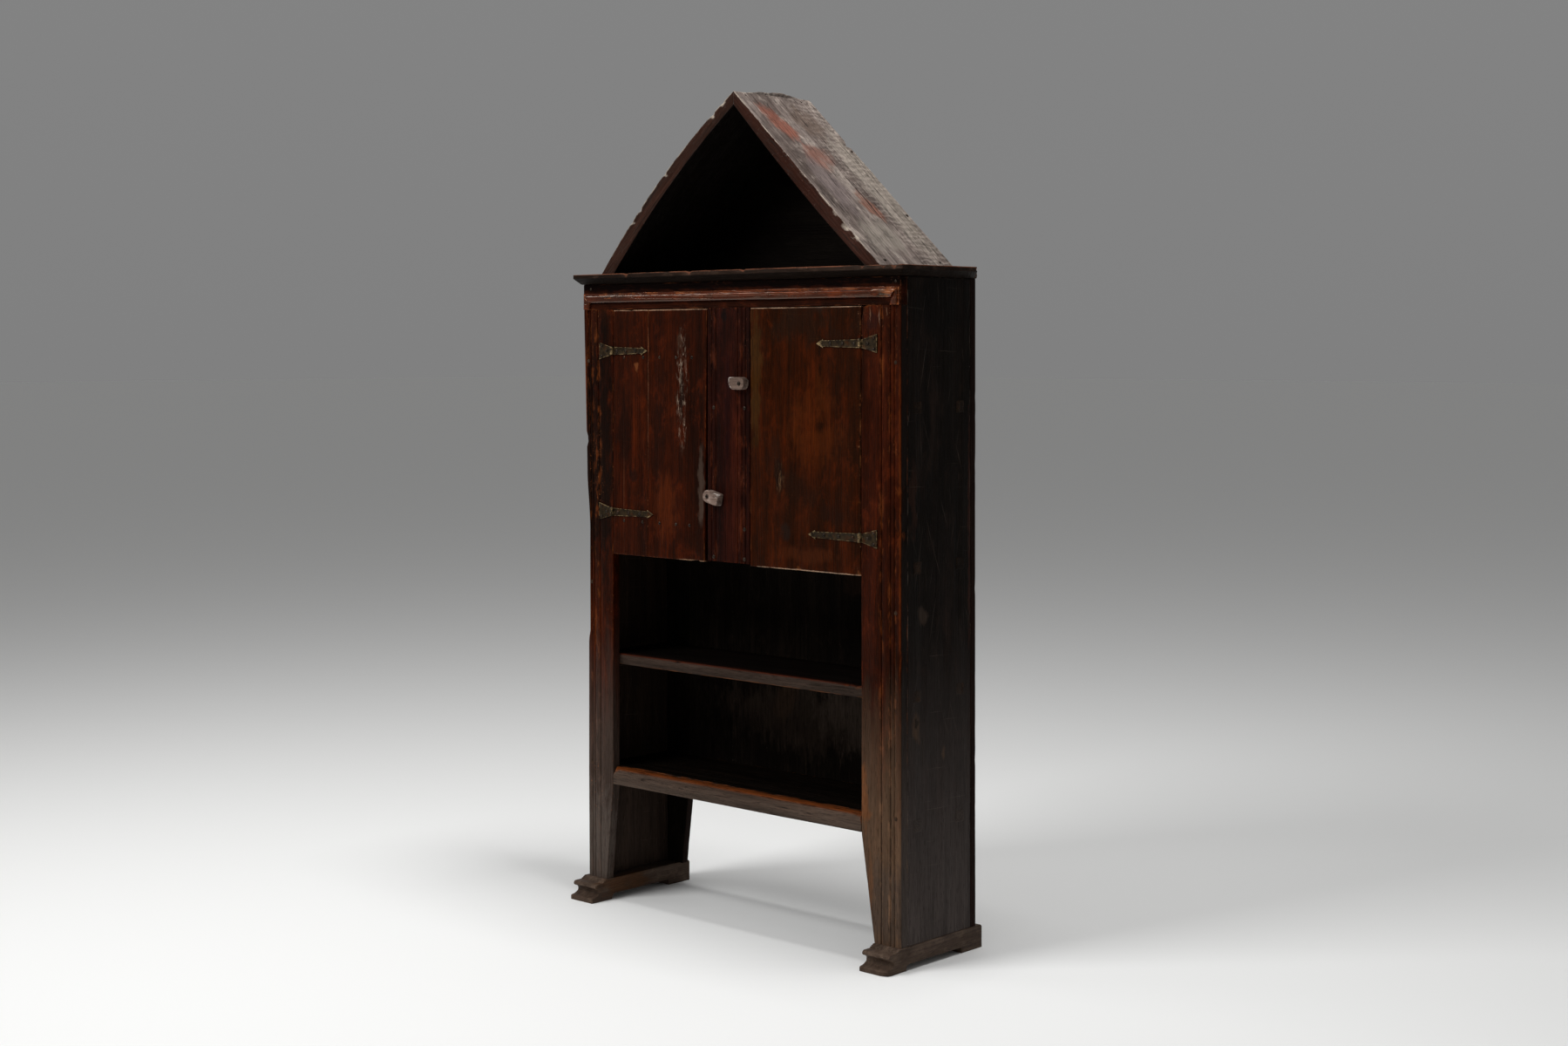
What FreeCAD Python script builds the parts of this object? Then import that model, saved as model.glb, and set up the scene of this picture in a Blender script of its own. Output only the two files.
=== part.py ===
"""A gabled cupboard on sled feet: board sides, four shelves, two hung doors and a plank roof."""
import FreeCAD, Part
import math
import os

# Body, as one box without its feet, top board and roof
body_width = 980.0
body_depth = 257.0
carcass_top = 1471.0
fit_clear = 0.2
cut_over = 5.0

# Feet
foot_height = 50.0
foot_width = 75.0
foot_proud = 2.0
toe_reach = 50.0
heel_reach = 20.0
toe_thick = 14.0
toe_nose_thick = 11.0
ledge_reach = 9.0
nose_top = 43.0
nose_middle = 35.0
nose_bottom = 27.0
nose_back_reach = 30.0
nose_reach = 41.0
nose_under_reach = 34.0
cove_reach = 28.0
cove_foot_reach = 36.0
arch_rise = 13.0
arch_front_inset = 16.0
arch_rear_inset = 52.0
arch_round = 12.0

# Sides, with tenons down into the feet
side_thick = 28.0
foot_tenon_thick = 14.0
foot_tenon_width = 50.0
foot_tenon_depth = 28.0

# Front stiles, which taper below the bottom shelf
stile_thick = 22.0
left_stile_width = 92.0
right_stile_width = 110.0
left_leg_width = 67.0
right_leg_width = 73.0
stile_groove_shares = (0.16, 0.26, 0.49)
groove_width = 3.0
groove_depth = 2.0

# Rear stiles and back boards
rear_thick = 19.0
rear_stile_width = 115.0
rear_leg_width = 85.0
back_width_shares = (0.19, 0.15, 0.17, 0.14, 0.19, 0.16)
back_gap = 0.8

# Top rail, with a torus under two fillets
rail_height = 61.0
frieze_height = 22.0
fillet_height = 5.0
fillet_proud = 3.0
torus_height = 18.0
torus_proud = 8.0
torus_foot_proud = 2.0
moulding_left_inset = 6.0
moulding_right_inset = 28.0

# Top board, bevelled underneath on three sides
top_thick = 24.0
top_overhang = 24.0
top_lip = 10.0
top_bevel = 20.0

# Roof, two planks that meet at the ridge, and the panel that closes it behind
ridge_height = 1900.0
right_eave_inset = 57.0
left_eave_inset = 51.0
eave_cut = 43.0
ridge_cut = 31.0
right_belly = 7.0
left_bow = 22.0
left_inner_bow = 16.0
gable_thick = 19.0

# Shelves: underside and thickness of each, and their through tenons
upper_shelf_z = 1177.0
upper_shelf_thick = 28.0
cupboard_floor_z = 837.0
cupboard_floor_thick = 26.0
middle_shelf_z = 564.0
middle_shelf_thick = 26.0
bottom_shelf_z = 280.0
bottom_shelf_thick = 41.0
tenon_width = 27.0
tenon_height = 26.0
tenon_inset = 55.5

# Middle post between the doors
muntin_left_x = -82.0
muntin_width = 132.0
muntin_thick = 22.0
muntin_drop = 4.0
muntin_groove_shares = (0.2, 0.72, 0.82)

# Doors
door_thick = 22.0
door_drop = 8.0
door_top_gap = 1.5
door_hinge_gap = 1.5
door_free_gap = 2.5
door_back_gap = 0.5
left_door_slant = 8.0
left_seam_share = 0.38
left_seam_gap = 0.6
batten_thick = 18.0
batten_height = 70.0
batten_inset = 22.0
upper_batten_z = 1297.0
lower_batten_z = 910.0

# Strap hinges
plate_thick = 3.0
knuckle_radius = 4.5
knuckle_lift = 0.3
knuckle_gap = 0.3
knuckle_height = 6.0
plate_setback = 0.6
pin_radius = 2.0
pin_clear = 0.05
pin_head_radius = 3.4
pin_head_height = 1.5
flare_reach = 46.0
flare_height = 40.0
strap_tip_length = 20.0
strap_tip_height = 20.0
strap_end_height = 13.0
left_upper_hinge_z = 1312.0
left_upper_strap_length = 118.0
left_lower_hinge_z = 929.0
left_lower_strap_length = 138.0
right_upper_hinge_z = 1328.0
right_upper_strap_length = 127.0
right_lower_hinge_z = 911.0
right_lower_strap_length = 150.0

# Turn buttons, whose rounded end is about the pivot
button_length = 33.0
button_height = 28.0
button_thick = 18.0
button_gap = 0.4
pivot_radius = 3.0
pivot_clear = 0.05
pivot_depth = 16.0
pivot_head_radius = 6.5
pivot_head_height = 2.5
upper_button_edge = 16.0
upper_button_z = 1239.0
upper_button_turn = 180.0
lower_button_edge = 16.0
lower_button_z = 981.0
lower_button_turn = -14.0

# Nails and pegs
nail_radius = 1.6
nail_head_radius = 3.6
nail_head_height = 1.4
nail_clear = 0.1
nail_length = 36.0
roof_nail_length = 45.0
strap_nail_length = 16.0
door_nail_length = 34.0
peg_radius = 4.5
peg_length = 60.0
stile_peg_shares = (0.2, 0.52, 0.91)
back_nail_shares = (0.3, 0.7)
muntin_nail_shares = (0.15, 0.88)
muntin_nail_lift = 6.0
spare_nail_lift = 67.0
spare_nail_length = 18.0
upper_door_nail_shares = (0.06, 0.31, 0.52, 0.73, 0.93)
lower_door_nail_shares = (0.06, 0.3, 0.52, 0.73, 0.9)
eave_nail_share = 0.03
ridge_nail_share = 0.98
gable_nail_shares = (0.3, 0.68)
roof_nail_depth_shares = (0.12, 0.85)
top_nail_depth_shares = (0.2, 0.8)

# Planes that the sizes above set
front = toe_reach - (toe_reach + body_depth + heel_reach) / 2
back = front + body_depth
left = -body_width / 2
right = body_width / 2
stile_back = front + stile_thick
rear_front = back - rear_thick
tenon_depths = (front + tenon_inset, back - tenon_inset)
left_inner = left + side_thick
right_inner = right - side_thick
left_stile_edge = left + left_stile_width
right_stile_edge = right - right_stile_width
rail_bottom = carcass_top - rail_height
top_z = carcass_top + top_thick
muntin_right_x = muntin_left_x + muntin_width
hinge_y = front - knuckle_lift - knuckle_radius
left_hinge_x = left_stile_edge + door_hinge_gap / 2
right_hinge_x = right_stile_edge - door_hinge_gap / 2
door_bottom = cupboard_floor_z - door_drop
door_top = rail_bottom - door_top_gap
left_door_start = left_stile_edge + door_hinge_gap
left_door_end = muntin_left_x - door_free_gap
right_door_start = muntin_right_x + door_free_gap
right_door_end = right_stile_edge - door_hinge_gap
inward = FreeCAD.Vector(0, 1, 0)
forward = FreeCAD.Vector(0, -1, 0)
downward = FreeCAD.Vector(0, 0, -1)


def point(x, y, z):
    return FreeCAD.Vector(x, y, z)


def block(x0, x1, y0, y1, z0, z1):
    """A box between two corners."""
    return Part.makeBox(x1 - x0, y1 - y0, z1 - z0, point(x0, y0, z0))


def line(a, b):
    return Part.LineSegment(a, b).toShape()


def arc(a, middle, b):
    return Part.Arc(a, middle, b).toShape()


def solid_from(edges, depth):
    """A solid of the closed outline that the edges make, pushed along a vector."""
    return Part.Face(Part.Wire(edges)).extrude(depth)


def front_outline(corners, y0, y1):
    """A straight-sided outline, seen from the front as x and z, between two depths."""
    ring = [point(x, y0, z) for x, z in corners]
    edges = [line(a, b) for a, b in zip(ring, ring[1:] + ring[:1])]
    return solid_from(edges, point(0, y1 - y0, 0))


def shared(start, end, share):
    """The place at a share of the way from start to end."""
    return start + (end - start) * share


def bowed(a, b, rise):
    """The point midway from a to b, lifted square to that line in the XZ plane."""
    along = (b - a).normalize()
    return (a + b) / 2 + point(-along.z, 0, along.x) * rise


def nail(seat, into, length=nail_length):
    """One nail: a low head on the surface and a shank driven along a direction."""
    head = Part.makeCylinder(nail_head_radius, nail_head_height, seat - into * nail_head_height, into)
    shank = Part.makeCylinder(nail_radius, length, seat, into)
    return head.fuse(shank)


def nailed(piece, seats, length=nail_length):
    """A piece with the holes that its nails are driven through."""
    for seat, into in seats:
        start = seat - into * cut_over
        piece = piece.cut(Part.makeCylinder(nail_radius + nail_clear, length + cut_over, start, into))
    return piece


def group(solids):
    return Part.makeCompound(list(solids))


parts = {}

# Feet: one moulded profile, seen from the side, with an arch cut underneath


def foot(outer_x, inner_x):
    """A sled foot between two x planes."""
    def at(reach, z):
        return point(inner_x, front - reach, z)

    heel = back + heel_reach
    arch_front = front + arch_front_inset
    arch_rear = back - arch_rear_inset
    round_share = math.sqrt(0.5)
    low_round = arch_round * (1 - round_share)
    arch_round_top = arch_rise - arch_round

    def under(y, z):
        return point(inner_x, y, z)

    outline = [
        line(under(heel, 0), under(heel, foot_height)),
        line(under(heel, foot_height), at(ledge_reach, foot_height)),
        line(at(ledge_reach, foot_height), at(ledge_reach, nose_top)),
        line(at(ledge_reach, nose_top), at(nose_back_reach, nose_top)),
        arc(at(nose_back_reach, nose_top), at(nose_reach, nose_middle), at(nose_under_reach, nose_bottom)),
        arc(
            at(nose_under_reach, nose_bottom),
            at(cove_reach, (nose_bottom + toe_thick) / 2),
            at(cove_foot_reach, toe_thick),
        ),
        line(at(cove_foot_reach, toe_thick), at(toe_reach, toe_nose_thick)),
        line(at(toe_reach, toe_nose_thick), at(toe_reach, 0)),
        line(at(toe_reach, 0), under(arch_front, 0)),
        line(under(arch_front, 0), under(arch_front, arch_round_top)),
        arc(
            under(arch_front, arch_round_top),
            under(arch_front + low_round, arch_rise - low_round),
            under(arch_front + arch_round, arch_rise),
        ),
        line(under(arch_front + arch_round, arch_rise), under(arch_rear, arch_rise)),
        line(under(arch_rear, arch_rise), under(arch_rear, 0)),
        line(under(arch_rear, 0), under(heel, 0)),
    ]
    return solid_from(outline, point(outer_x - inner_x, 0, 0))


def foot_tenons(side_x0, side_x1, clear):
    """The two tenons under a side board, or with a clearance their mortises."""
    middle_x = (side_x0 + side_x1) / 2
    half_thick = foot_tenon_thick / 2 + clear
    half_width = foot_tenon_width / 2 + clear
    for y in tenon_depths:
        yield block(
            middle_x - half_thick,
            middle_x + half_thick,
            y - half_width,
            y + half_width,
            foot_height - foot_tenon_depth - clear,
            foot_height + clear,
        )


# Shelves, which also set the mortises in the sides
shelves = {
    "upper_shelf": (upper_shelf_z, upper_shelf_thick, stile_back + door_back_gap),
    "cupboard_floor": (cupboard_floor_z, cupboard_floor_thick, stile_back + door_back_gap),
    "middle_shelf": (middle_shelf_z, middle_shelf_thick, stile_back),
    "bottom_shelf": (bottom_shelf_z, bottom_shelf_thick, stile_back),
}


def shelf_tenons(z, thick, x0, x1, clear):
    """Two tenons of one shelf between two x planes, or with a clearance their mortises."""
    half_width = tenon_width / 2 + clear
    half_height = tenon_height / 2 + clear
    middle_z = z + thick / 2
    for y in tenon_depths:
        yield block(x0, x1, y - half_width, y + half_width, middle_z - half_height, middle_z + half_height)


for name, (z, thick, shelf_front) in shelves.items():
    plank = block(left_inner, right_inner, shelf_front, rear_front, z, z + thick)
    ends = list(shelf_tenons(z, thick, left, left_inner, 0)) + list(shelf_tenons(z, thick, right_inner, right, 0))
    parts[name] = plank.multiFuse(ends)

# The bottom shelf comes forward between the stiles to their front
nosing = block(
    left_stile_edge + fit_clear,
    right_stile_edge - fit_clear,
    front,
    stile_back,
    bottom_shelf_z,
    bottom_shelf_z + bottom_shelf_thick,
)
parts["bottom_shelf"] = parts["bottom_shelf"].fuse(nosing).removeSplitter()

# Sides and feet
for name, outer, inner, turn in (("left", left, left_inner, -1), ("right", right, right_inner, 1)):
    board = block(min(outer, inner), max(outer, inner), stile_back, rear_front, foot_height, carcass_top)
    through = cut_over * turn
    for z, thick, _ in shelves.values():
        x0, x1 = sorted((outer + through, inner - through))
        for mortise in shelf_tenons(z, thick, x0, x1, fit_clear):
            board = board.cut(mortise)
    board = board.multiFuse(list(foot_tenons(outer, inner, 0)))
    parts[name + "_side_board"] = board
    sled = foot(outer + foot_proud * turn, outer + (foot_proud - foot_width) * turn)
    for mortise in foot_tenons(outer, inner, fit_clear):
        sled = sled.cut(mortise)
    parts[name + "_foot"] = sled

# Front stiles: one bead between two grooves near the outer edge and one groove beside it


def stile(outer, turn, width, leg_width, y0, y1, top):
    """A stile that narrows to a leg below the bottom shelf."""
    inner = outer - width * turn
    corners = [
        (outer, foot_height),
        (outer, top),
        (inner, top),
        (inner, bottom_shelf_z),
        (outer - leg_width * turn, foot_height),
    ]
    return front_outline(corners, y0, y1)


def grooved(piece, places, z0, z1):
    """A piece with upright grooves in its front."""
    half = groove_width / 2
    for x in places:
        piece = piece.cut(block(x - half, x + half, front - cut_over, front + groove_depth, z0, z1))
    return piece


def peg_seats(outer, turn):
    x = outer - side_thick / 2 * turn
    return [point(x, front, shared(foot_height, rail_bottom, s)) for s in stile_peg_shares]


def pegged(piece, seats):
    """A piece with the holes that the stile pegs fill."""
    for seat in seats:
        bore = Part.makeCylinder(peg_radius + nail_clear, peg_length, seat, inward)
        piece = piece.cut(bore)
    return piece


pegs = []
for name, outer, turn, width, leg_width in (
    ("left", left, -1, left_stile_width, left_leg_width),
    ("right", right, 1, right_stile_width, right_leg_width),
):
    post = stile(outer, turn, width, leg_width, front, stile_back, rail_bottom)
    places = [outer - width * s * turn for s in stile_groove_shares]
    post = grooved(post, places, foot_height - cut_over, rail_bottom + cut_over)
    seats = peg_seats(outer, turn)
    parts[name + "_front_stile"] = pegged(post, seats)
    parts[name + "_side_board"] = pegged(parts[name + "_side_board"], seats)
    pegs += [Part.makeCylinder(peg_radius, peg_length, seat, inward) for seat in seats]
    parts[name + "_rear_stile"] = stile(
        outer, turn, rear_stile_width, rear_leg_width, rear_front, back, carcass_top
    )
parts["stile_pegs"] = group(pegs)

# Back boards of unequal widths between the rear stiles
back_start = left + rear_stile_width
back_end = right - rear_stile_width
back_nails = []
shelf_levels = [z + thick / 2 for z, thick, _ in shelves.values()]
x = back_start
for number, share in enumerate(back_width_shares, 1):
    x1 = x + (back_end - back_start) * share
    x0 = x + back_gap / 2
    seats = [
        (point(shared(x, x1, s), back, z), forward) for s in back_nail_shares for z in shelf_levels
    ]
    board = block(x0, x1 - back_gap / 2, rear_front, back, bottom_shelf_z, carcass_top)
    parts["back_board_%d" % number] = nailed(board, seats)
    back_nails += seats
    x = x1
for name in shelves:
    parts[name] = nailed(parts[name], back_nails)
rear_seats = {}
for name, outer, turn in (("left", left, -1), ("right", right, 1)):
    x = outer - side_thick / 2 * turn
    rear_seats[name] = [
        (point(x, back, shared(foot_height, carcass_top, s)), forward) for s in stile_peg_shares
    ]
    for piece in ("_rear_stile", "_side_board"):
        parts[name + piece] = nailed(parts[name + piece], rear_seats[name])
parts["back_nails"] = group(nail(*seat) for seat in back_nails + rear_seats["left"] + rear_seats["right"])

# Top rail: a flat frieze over fillet, torus and flat, moulded short of its ends
fillet_top = carcass_top - frieze_height
torus_top = fillet_top - fillet_height
torus_foot = torus_top - torus_height


def rail_at(proud, z):
    return point(left, front - proud, z)


rail_outline = [
    line(point(left, stile_back, rail_bottom), point(left, stile_back, carcass_top)),
    line(point(left, stile_back, carcass_top), rail_at(0, carcass_top)),
    line(rail_at(0, carcass_top), rail_at(0, fillet_top)),
    line(rail_at(0, fillet_top), rail_at(fillet_proud, fillet_top)),
    line(rail_at(fillet_proud, fillet_top), rail_at(fillet_proud, torus_top)),
    arc(
        rail_at(fillet_proud, torus_top),
        rail_at(torus_proud, (torus_top + torus_foot) / 2),
        rail_at(torus_foot_proud, torus_foot),
    ),
    line(rail_at(torus_foot_proud, torus_foot), rail_at(0, torus_foot)),
    line(rail_at(0, torus_foot), rail_at(0, rail_bottom)),
    line(rail_at(0, rail_bottom), point(left, stile_back, rail_bottom)),
]
rail = solid_from(rail_outline, point(body_width, 0, 0))
for x0, x1 in (
    (left - cut_over, left + moulding_left_inset),
    (right - moulding_right_inset, right + cut_over),
):
    rail = rail.cut(block(x0, x1, front - torus_proud - cut_over, front, rail_bottom, carcass_top))
rail_nail_z = carcass_top - frieze_height / 2
rail_seats = [
    (point(left + side_thick / 2, front, rail_nail_z), inward),
    (point(right - side_thick / 2, front, rail_nail_z), inward),
]
parts["top_rail"] = nailed(rail, rail_seats)
for name in ("left_side_board", "right_side_board"):
    parts[name] = nailed(parts[name], rail_seats)
parts["rail_nails"] = group(nail(*seat) for seat in rail_seats)

# Top board


def top_rectangle(inset, z):
    """The top board's plan at one height, drawn in on its front and sides."""
    reach = top_overhang - inset
    corners = [
        point(left - reach, front - reach, z),
        point(right + reach, front - reach, z),
        point(right + reach, back, z),
        point(left - reach, back, z),
    ]
    return Part.makePolygon(corners + corners[:1])


bevel_top = top_z - top_lip
under = Part.makeLoft([top_rectangle(top_bevel, carcass_top), top_rectangle(0, bevel_top)], True, True)
lip = block(left - top_overhang, right + top_overhang, front - top_overhang, back, bevel_top, top_z)
top_board = under.fuse(lip).removeSplitter()
top_seats = [
    (point(x, shared(front, back, s), top_z), downward)
    for x in (left + side_thick / 2, right - side_thick / 2)
    for s in top_nail_depth_shares
]
parts["top_board"] = nailed(top_board, top_seats)
for name in ("left_side_board", "right_side_board"):
    parts[name] = nailed(parts[name], top_seats)
parts["top_board_nails"] = group(nail(*seat) for seat in top_seats)

# Roof: outer and inner edges of both planks, drawn in the front plane
ridge = point(0, front, ridge_height)
inner_ridge = point(0, front, ridge_height - ridge_cut)
right_eave = point(right - right_eave_inset, front, top_z)
right_inner_eave = right_eave - point(eave_cut, 0, 0)
left_eave = point(left + left_eave_inset, front, top_z)
left_inner_eave = left_eave + point(eave_cut, 0, 0)
right_outer_edge = line(right_eave, ridge)
right_under_middle = bowed(right_inner_eave, inner_ridge, right_belly)
right_under_edge = arc(inner_ridge, right_under_middle, right_inner_eave)
left_outer_edge = arc(left_eave, bowed(left_eave, ridge, left_bow), ridge)
left_under_middle = bowed(left_inner_eave, inner_ridge, left_inner_bow)
left_under_edge = arc(inner_ridge, left_under_middle, left_inner_eave)
full_depth = point(0, body_depth, 0)
right_roof = solid_from(
    [right_outer_edge, line(ridge, inner_ridge), right_under_edge, line(right_inner_eave, right_eave)],
    full_depth,
)
left_roof = solid_from(
    [left_outer_edge, line(ridge, inner_ridge), left_under_edge, line(left_inner_eave, left_eave)],
    full_depth,
)
gable = solid_from(
    [right_under_edge, line(right_inner_eave, left_inner_eave), left_under_edge],
    point(0, gable_thick, 0),
)
gable.translate(point(0, body_depth - gable_thick, 0))


def roof_seat(edge, share, y, side):
    """A nail's seat on a roof slope, and the way square into the plank."""
    at = shared(edge.FirstParameter, edge.LastParameter, share)
    on = edge.valueAt(at)
    along = edge.tangentAt(at)
    return point(on.x, y, on.z), point(-along.z, 0, along.x) * side


roof_seats = []
for edge, side in ((right_outer_edge, 1), (left_outer_edge, -1)):
    for s in roof_nail_depth_shares:
        roof_seats.append(roof_seat(edge, eave_nail_share, shared(front, back, s), side))
    for s in gable_nail_shares:
        roof_seats.append(roof_seat(edge, s, back - gable_thick / 2, side))
for s in roof_nail_depth_shares:
    roof_seats.append(roof_seat(right_outer_edge, ridge_nail_share, shared(front, back, s), 1))
parts["right_roof_board"] = nailed(right_roof, roof_seats, roof_nail_length)
parts["left_roof_board"] = nailed(left_roof, roof_seats, roof_nail_length)
parts["gable_back"] = nailed(gable, roof_seats, roof_nail_length)
parts["top_board"] = nailed(parts["top_board"], roof_seats, roof_nail_length)
parts["roof_nails"] = group(nail(seat, into, roof_nail_length) for seat, into in roof_seats)

# Middle post, nailed to the fronts of two shelves, with one spare nail above the lower pair
muntin = block(
    muntin_left_x, muntin_right_x, front, front + muntin_thick, cupboard_floor_z - muntin_drop, rail_bottom
)
muntin_grooves = [shared(muntin_left_x, muntin_right_x, s) for s in muntin_groove_shares]
muntin = grooved(muntin, muntin_grooves, cupboard_floor_z - muntin_drop - cut_over, rail_bottom + cut_over)
muntin_seats = [
    (point(shared(muntin_left_x, muntin_right_x, s), front, z + muntin_nail_lift), inward)
    for s in muntin_nail_shares
    for z in (upper_shelf_z, cupboard_floor_z)
]
spare_x = shared(muntin_left_x, muntin_right_x, muntin_nail_shares[1])
spare_seats = [(point(spare_x, front, cupboard_floor_z + muntin_nail_lift + spare_nail_lift), inward)]
muntin = nailed(nailed(muntin, muntin_seats), spare_seats, spare_nail_length)
for name in ("upper_shelf", "cupboard_floor"):
    parts[name] = nailed(parts[name], muntin_seats)
muntin_nails = [nail(*seat) for seat in muntin_seats]
muntin_nails += [nail(seat, into, spare_nail_length) for seat, into in spare_seats]
parts["muntin_nails"] = group(muntin_nails)

# Turn buttons on the middle post, each on a pivot with a head
for name, x, z, turn in (
    ("upper", muntin_right_x - upper_button_edge, upper_button_z, upper_button_turn),
    ("lower", muntin_left_x + lower_button_edge, lower_button_z, lower_button_turn),
):
    face = front - button_gap
    half = button_height / 2
    bar = block(x, x + button_length, face - button_thick, face, z - half, z + half)
    end = Part.makeCylinder(half, button_thick, point(x, face, z), forward)
    bore = Part.makeCylinder(
        pivot_radius + pivot_clear, button_thick + 2 * cut_over, point(x, face + cut_over, z), forward
    )
    button = bar.fuse(end).removeSplitter().cut(bore)
    button.rotate(point(x, face, z), forward, turn)
    parts[name + "_turn_button"] = button
    head_y = face - button_thick - button_gap
    shank = Part.makeCylinder(pivot_radius, front + pivot_depth - head_y, point(x, head_y, z), inward)
    head = Part.makeCylinder(pivot_head_radius, pivot_head_height, point(x, head_y, z), forward)
    parts[name + "_button_pivot"] = shank.fuse(head)
    hole = Part.makeCylinder(
        pivot_radius + pivot_clear, pivot_depth + cut_over, point(x, front - cut_over, z), inward
    )
    muntin = muntin.cut(hole)
parts["center_muntin"] = muntin

# Doors: the left one is two boards on two battens, and the right one a single board
seam_x = shared(left_door_start, left_door_end, left_seam_share)
door_back = front + door_thick
outer_board = block(
    left_door_start, seam_x - left_seam_gap / 2, front, door_back, door_bottom, door_top
)
inner_board = front_outline(
    [
        (seam_x + left_seam_gap / 2, door_bottom),
        (left_door_end - left_door_slant, door_bottom),
        (left_door_end, door_top),
        (seam_x + left_seam_gap / 2, door_top),
    ],
    front,
    door_back,
)
door_nail_seats = []
for name, z, shares in (
    ("upper", upper_batten_z, upper_door_nail_shares),
    ("lower", lower_batten_z, lower_door_nail_shares),
):
    x0 = left_door_start + batten_inset
    x1 = left_door_end - left_door_slant - batten_inset
    seats = [(point(shared(x0, x1, s), front, z), inward) for s in shares]
    half = batten_height / 2
    batten = block(x0, x1, door_back, door_back + batten_thick, z - half, z + half)
    parts["left_door_%s_batten" % name] = nailed(batten, seats, door_nail_length)
    door_nail_seats += seats
left_boards = {
    "left_door_outer_board": nailed(outer_board, door_nail_seats, door_nail_length),
    "left_door_inner_board": nailed(inner_board, door_nail_seats, door_nail_length),
}
right_boards = {
    "right_door_board": block(right_door_start, right_door_end, front, door_back, door_bottom, door_top)
}

# Strap hinges: a flared leaf on the stile, a strap with a spear tip on the door, and a pin
flare_nail_shares = ((0.45, 0), (0.82, 0.3), (0.82, -0.3))
strap_nail_shares = (0.16, 0.47, 0.8)
barrel_half = knuckle_height * 3 / 2 + knuckle_gap
plate_start = knuckle_radius + plate_setback


def knuckles(x, z, turn, levels):
    """Bored knuckles about a hinge axis, each with an arm to the plate on the side that turn gives."""
    solids = []
    for level in levels:
        middle = z + level * (knuckle_height + knuckle_gap)
        low = middle - knuckle_height / 2
        solids.append(Part.makeCylinder(knuckle_radius, knuckle_height, point(x, hinge_y, low)))
        x0, x1 = sorted((x, x + plate_start * turn))
        solids.append(block(x0, x1, front - plate_thick, front, low, low + knuckle_height))
    return solids


def plate(x, z, corners, turn):
    """A flat plate on the front, from outline points of reach from the axis and height."""
    return front_outline([(x + reach * turn, z + rise) for reach, rise in corners], front - plate_thick, front)


leaf_nails = []
strap_nails = {"left": [], "right": []}
for name, x, z, turn, length, boards in (
    ("left_upper", left_hinge_x, left_upper_hinge_z, -1, left_upper_strap_length, left_boards),
    ("left_lower", left_hinge_x, left_lower_hinge_z, -1, left_lower_strap_length, left_boards),
    ("right_upper", right_hinge_x, right_upper_hinge_z, 1, right_upper_strap_length, right_boards),
    ("right_lower", right_hinge_x, right_lower_hinge_z, 1, right_lower_strap_length, right_boards),
):
    side = name.split("_")[0]
    bore = Part.makeCylinder(
        pin_radius + pin_clear, 2 * (barrel_half + cut_over), point(x, hinge_y, z - barrel_half - cut_over)
    )
    flare = flare_height / 2
    end = strap_end_height / 2
    tip = strap_tip_height / 2
    tip_start = length - strap_tip_length
    leaf = plate(
        x,
        z,
        [(plate_start, -barrel_half), (flare_reach, -flare), (flare_reach, flare), (plate_start, barrel_half)],
        turn,
    )
    leaf = leaf.multiFuse(knuckles(x, z, turn, (-1, 1))).removeSplitter().cut(bore)
    strap = plate(
        x,
        z,
        [
            (plate_start, -barrel_half),
            (tip_start, -end),
            (tip_start, -tip),
            (length, 0),
            (tip_start, tip),
            (tip_start, end),
            (plate_start, barrel_half),
        ],
        -turn,
    )
    strap = strap.multiFuse(knuckles(x, z, -turn, (0,))).removeSplitter().cut(bore)
    plate_face = front - plate_thick
    leaf_seats = [
        (point(x + flare_reach * along * turn, plate_face, z + flare_height * up), inward)
        for along, up in flare_nail_shares
    ]
    strap_seats = [(point(x - tip_start * s * turn, plate_face, z), inward) for s in strap_nail_shares]
    parts[name + "_hinge_leaf"] = nailed(leaf, leaf_seats, strap_nail_length)
    parts[name + "_hinge_strap"] = nailed(strap, strap_seats, strap_nail_length)
    pin = Part.makeCylinder(pin_radius, 2 * barrel_half, point(x, hinge_y, z - barrel_half))
    pin_head = Part.makeCylinder(pin_head_radius, pin_head_height, point(x, hinge_y, z + barrel_half))
    parts[name + "_hinge_pin"] = pin.fuse(pin_head)
    post = side + "_front_stile"
    parts[post] = nailed(parts[post], leaf_seats, strap_nail_length)
    for board in boards:
        boards[board] = nailed(boards[board], strap_seats, strap_nail_length)
    leaf_nails += [nail(seat, into, strap_nail_length) for seat, into in leaf_seats]
    strap_nails[side] += [nail(seat, into, strap_nail_length) for seat, into in strap_seats]
parts.update(left_boards)
parts.update(right_boards)
parts["hinge_leaf_nails"] = group(leaf_nails)
left_nails = [nail(seat, into, door_nail_length) for seat, into in door_nail_seats]
parts["left_door_nails"] = group(left_nails + strap_nails["left"])
parts["right_door_nails"] = group(strap_nails["right"])

os.makedirs("parts", exist_ok=True)
for name, shape in parts.items():
    shape.exportStep("parts/%s.step" % name)
    print(name, shape.isValid(), len(shape.Solids), round(shape.Volume))
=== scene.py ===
import bpy, bmesh, math
import numpy as np
from mathutils import Matrix, Vector, noise


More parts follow.
